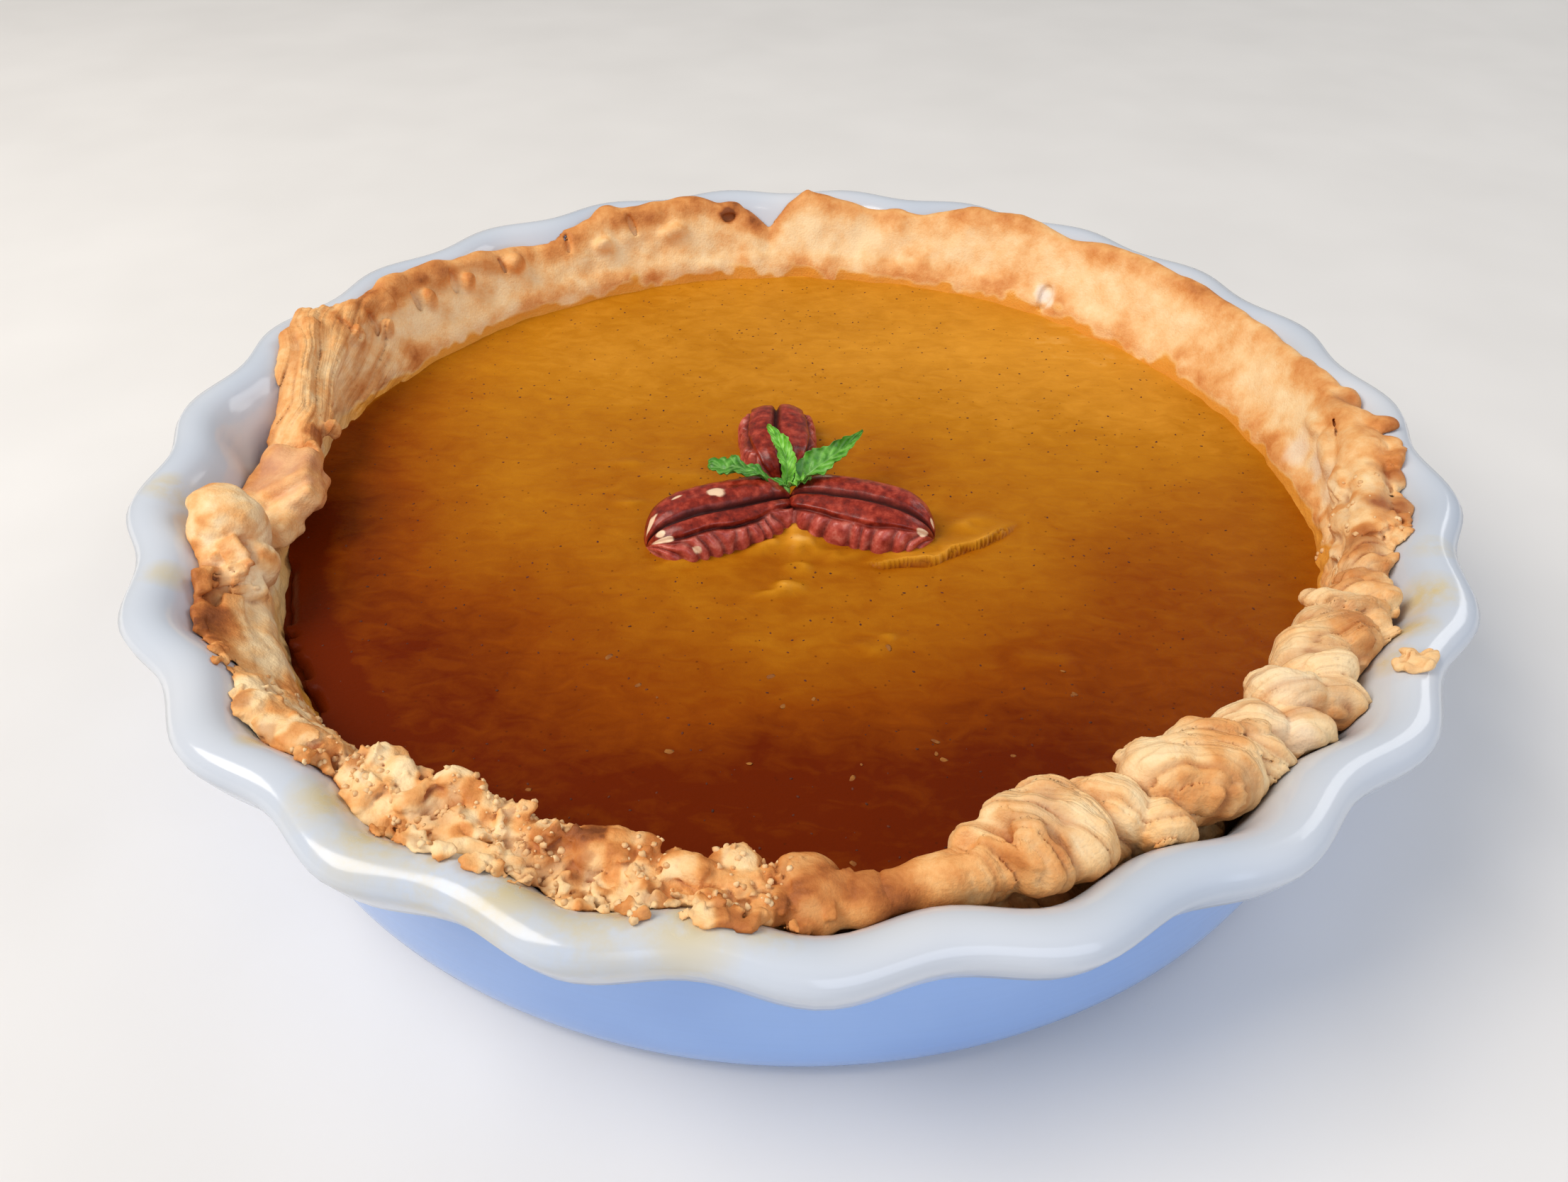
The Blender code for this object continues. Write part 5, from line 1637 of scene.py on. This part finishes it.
class PIE_OT_toppings(bpy.types.Operator):
    """Build the pecan halves, the mint sprig and the fallen flake"""

    bl_idname = "pie.toppings"
    bl_label = "Toppings"

    def execute(self, context):
        nut = pecan_skin()
        for name, inner, outer, roll, seed, near, chips in PECANS:
            inner, outer = Vector((*inner, 0.0)), Vector((*outer, 0.0))
            along = outer - inner
            points, faces, values = pecan_half(along.length, seed, near, chips)
            turn = (Matrix.Rotation(math.atan2(along.y, along.x), 3, "Z")
                    @ Matrix.Rotation(math.radians(roll), 3, "X"))
            middle = (inner + outer) / 2
            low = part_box(name)[0].z / MM - PECAN_SUNK
            points = points @ np.array(turn).T + np.array((middle.x, middle.y, low))
            piece = new_piece(name + "_half", points, faces, nut, values)
            face_outward(piece)
            settle(piece, "pecan", name)
        self.mint()
        self.flake()
        return {"FINISHED"}

    def mint(self):
        """Join the leaves in one sprig."""
        points, faces, veins, young = [], [], [], []
        stem, quads = lumpy_ball(MINT_STEM, 0.1, 4, 3)
        stem = stem + np.array(MINT_JOINT) - (0.0, 0.0, MINT_STEM[2] * 0.75)
        blades = [(stem, quads, np.full(len(stem), 0.6))]
        blades += [leaf_blade(*leaf, seed) for seed, leaf in enumerate(MINT_LEAVES)]
        for share, (blade, quads, vein) in zip(YOUNG, blades):
            faces += [[i + sum(map(len, points)) for i in quad] for quad in quads]
            points.append(blade)
            veins.append(vein)
            young.append(np.full(len(blade), share))
        piece = new_piece("mint_leaves", np.concatenate(points), faces, mint_leaf(),
                          {"vein": np.concatenate(veins), "young": np.concatenate(young)})
        settle(piece, "mint", "mint_sprig")

    def flake(self):
        """A curved, layered flake that has dropped on the rim."""
        low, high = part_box("crust_flake")
        middle = (low + high) / 2 / MM
        angle = math.degrees(math.atan2(middle.y, middle.x)) % 360.0
        radius = math.hypot(middle.x, middle.y)
        dough = Dough(angle - 5.0, angle + 5.0, 0.18, (radius - 7, 49.0), (radius + 7, 58.0))
        shapes = (
            (angle - 0.3, radius - 0.2, 53.4, (2.3, 2.9, 0.8), (10, 10, -30), 0.8),
            (angle + 0.9, radius + 1.2, 53.9, (1.9, 1.5, 0.7), (24, -14, 20), 0.8),
            (angle - 0.9, radius - 1.9, 53.3, (1.3, 1.6, 0.8), (-10, -20, -20), 0.6),
            (angle + 0.5, radius - 2.0, 53.9, (1.2, 1.4, 0.6), (20, 26, 30), 0.6),
        )
        for shape in shapes:
            dough.add_lump(shape)
        dough.warp(0.4, 2.4, 71)
        dough.roughen(73)
        dough.close_ends(0.5)
        piece = dough.skin("fallen_flake", bpy.data.materials["baked_shortcrust"])
        bake_and_shade = piece.data.attributes["bake_and_shade"].data
        bake_and_shade.foreach_set("value", np.full(len(piece.data.vertices), 0.22, np.float32))
        settle(piece, "pastry", "crust_flake")


# ---------------------------------------------------------------- stage


class StageSettings(bpy.types.PropertyGroup):
    """Camera and light."""

    lens: setting("Float", "Lens", "Focal length in millimetres", 27.39)
    key: setting("Float", "Key light", "Power of the large light overhead, in watts", 12.2)
    fill: setting("Float", "Fill light", "Power of the light in front, in watts", 4.6)
    back: setting("Float", "Back light", "Power of the light behind, in watts", 3.8)


TABLE_TURNS = 96           # points round the table
TABLE_RINGS = (60.0, 400.0, 1200.0, 3600.0)
AIM = (0.0, 0.0, 0.04)     # where the lights point, in metres
CAMERA_AT = (0.000275, -0.2195, 0.18935)
CAMERA_PITCH = 0.695       # how far the camera looks down, in radians
CAMERA_YAW = -0.01278
CAMERA_ROLL = 0.01031


def studio_floor():
    """A matt painted tabletop, warm white with the faintest mottle."""
    made, tree, place = new_material("matt_painted_table")
    colour = ramp(tree, mottle(tree, place, 60), (0.3, "#E4E1DC"), (0.7, "#E9E6E1"))
    return finished(made, {"Base Color": colour, "Roughness": 0.8})


class PIE_OT_stage(bpy.types.Operator):
    """Set up the table, the lights and the camera"""

    bl_idname = "pie.stage"
    bl_label = "Stage"

    def execute(self, context):
        stage = context.scene.pie_stage
        turns = np.arange(TABLE_TURNS) * 360.0 / TABLE_TURNS
        rows = [polar(radius, turns, 0.0) for radius in TABLE_RINGS]
        points = np.concatenate(rows + [np.zeros((1, 3))])
        faces = strip_faces(len(rows), TABLE_TURNS, closed=True).tolist()
        faces += [((i + 1) % TABLE_TURNS, i, len(points) - 1) for i in range(TABLE_TURNS)]
        floor = new_piece("table", points, [f[::-1] for f in faces], studio_floor())
        self.light("key_light", (-0.75, -0.2, 0.95), 0.7, stage.key, "#FFF8F0")
        self.light("fill_light", (0.35, -0.9, 0.55), 0.8, stage.fill, "#E2EBFF")
        self.light("back_light", (0.95, 0.6, 0.9), 0.6, stage.back, "#FFFFFF")
        world = bpy.data.worlds.new("studio")
        world.use_nodes = True
        back = world.node_tree.nodes["Background"]
        back.inputs["Color"].default_value = (*linear("#EEF1F6"), 1.0)
        back.inputs["Strength"].default_value = 0.35
        context.scene.world = world
        self.camera(context, stage)
        context.scene.view_settings.view_transform = "Standard"
        return {"FINISHED"}

    def light(self, name, at, size, power, colour):
        """A square soft light aimed at the pie."""
        data = bpy.data.lights.new(name, "AREA")
        data.size = size
        data.energy = power
        data.color = linear(colour)
        lamp = put_in_scene(name, data)
        lamp.location = at
        aim = Vector(AIM) - Vector(at)
        lamp.rotation_euler = aim.to_track_quat("-Z", "Y").to_euler()

    def camera(self, context, stage):
        """A camera in front of the pie, looking down over its near rim."""
        data = bpy.data.cameras.new("camera")
        data.lens = stage.lens
        data.sensor_width = 36.0
        data.clip_start = 0.01
        camera = put_in_scene("camera", data)
        pitch, yaw = CAMERA_PITCH, CAMERA_YAW
        look = Vector((math.sin(yaw) * math.cos(pitch), math.cos(yaw) * math.cos(pitch),
                       -math.sin(pitch)))
        right = Vector((math.cos(yaw), -math.sin(yaw), 0.0))
        up = right.cross(look)
        c, s = math.cos(CAMERA_ROLL), math.sin(CAMERA_ROLL)
        right, up = right * c + up * s, up * c - right * s
        turn = Matrix((right, up, -look)).transposed()
        camera.matrix_world = Matrix.Translation(CAMERA_AT) @ turn.to_4x4()
        context.scene.camera = camera


# ---------------------------------------------------------------- sidebar and running


class PIE_PT_sidebar(bpy.types.Panel):
    """The pie's pieces, in the 3D view's sidebar"""

    bl_idname = "PIE_PT_sidebar"
    bl_label = "Sweet Potato Pie"
    bl_space_type = "VIEW_3D"
    bl_region_type = "UI"
    bl_category = "Pie"

    def draw(self, context):
        for operator, group in PIECES:
            self.layout.operator(operator.bl_idname)
            if group:
                settings = getattr(context.scene, group)
                for key in settings.bl_rna.properties.keys():
                    if key not in ("rna_type", "name"):
                        self.layout.prop(settings, key)


PIECES = (
    (PIE_OT_dish, "pie_dish"),
    (PIE_OT_pastry, "pie_pastry"),
    (PIE_OT_custard, "pie_custard"),
    (PIE_OT_toppings, None),
    (PIE_OT_stage, "pie_stage"),
)
SETTINGS = {
    "pie_dish": DishSettings,
    "pie_pastry": PastrySettings,
    "pie_custard": CustardSettings,
    "pie_stage": StageSettings,
}


def register():
    """Register the settings, the operators and the panel."""
    for key, kind in SETTINGS.items():
        bpy.utils.register_class(kind)
        setattr(bpy.types.Scene, key, bpy.props.PointerProperty(type=kind))
    for operator, _ in PIECES:
        bpy.utils.register_class(operator)
    bpy.utils.register_class(PIE_PT_sidebar)


def unregister():
    """Take them all away again."""
    bpy.utils.unregister_class(PIE_PT_sidebar)
    for operator, _ in reversed(PIECES):
        bpy.utils.unregister_class(operator)
    for key, kind in reversed(SETTINGS.items()):
        delattr(bpy.types.Scene, key)
        bpy.utils.unregister_class(kind)


def main():
    """Build the whole pie."""
    register()
    bpy.ops.pie.dish()
    bpy.ops.pie.pastry()
    bpy.ops.pie.custard()
    bpy.ops.pie.toppings()
    bpy.ops.pie.stage()


if __name__ == "__main__":
    main()
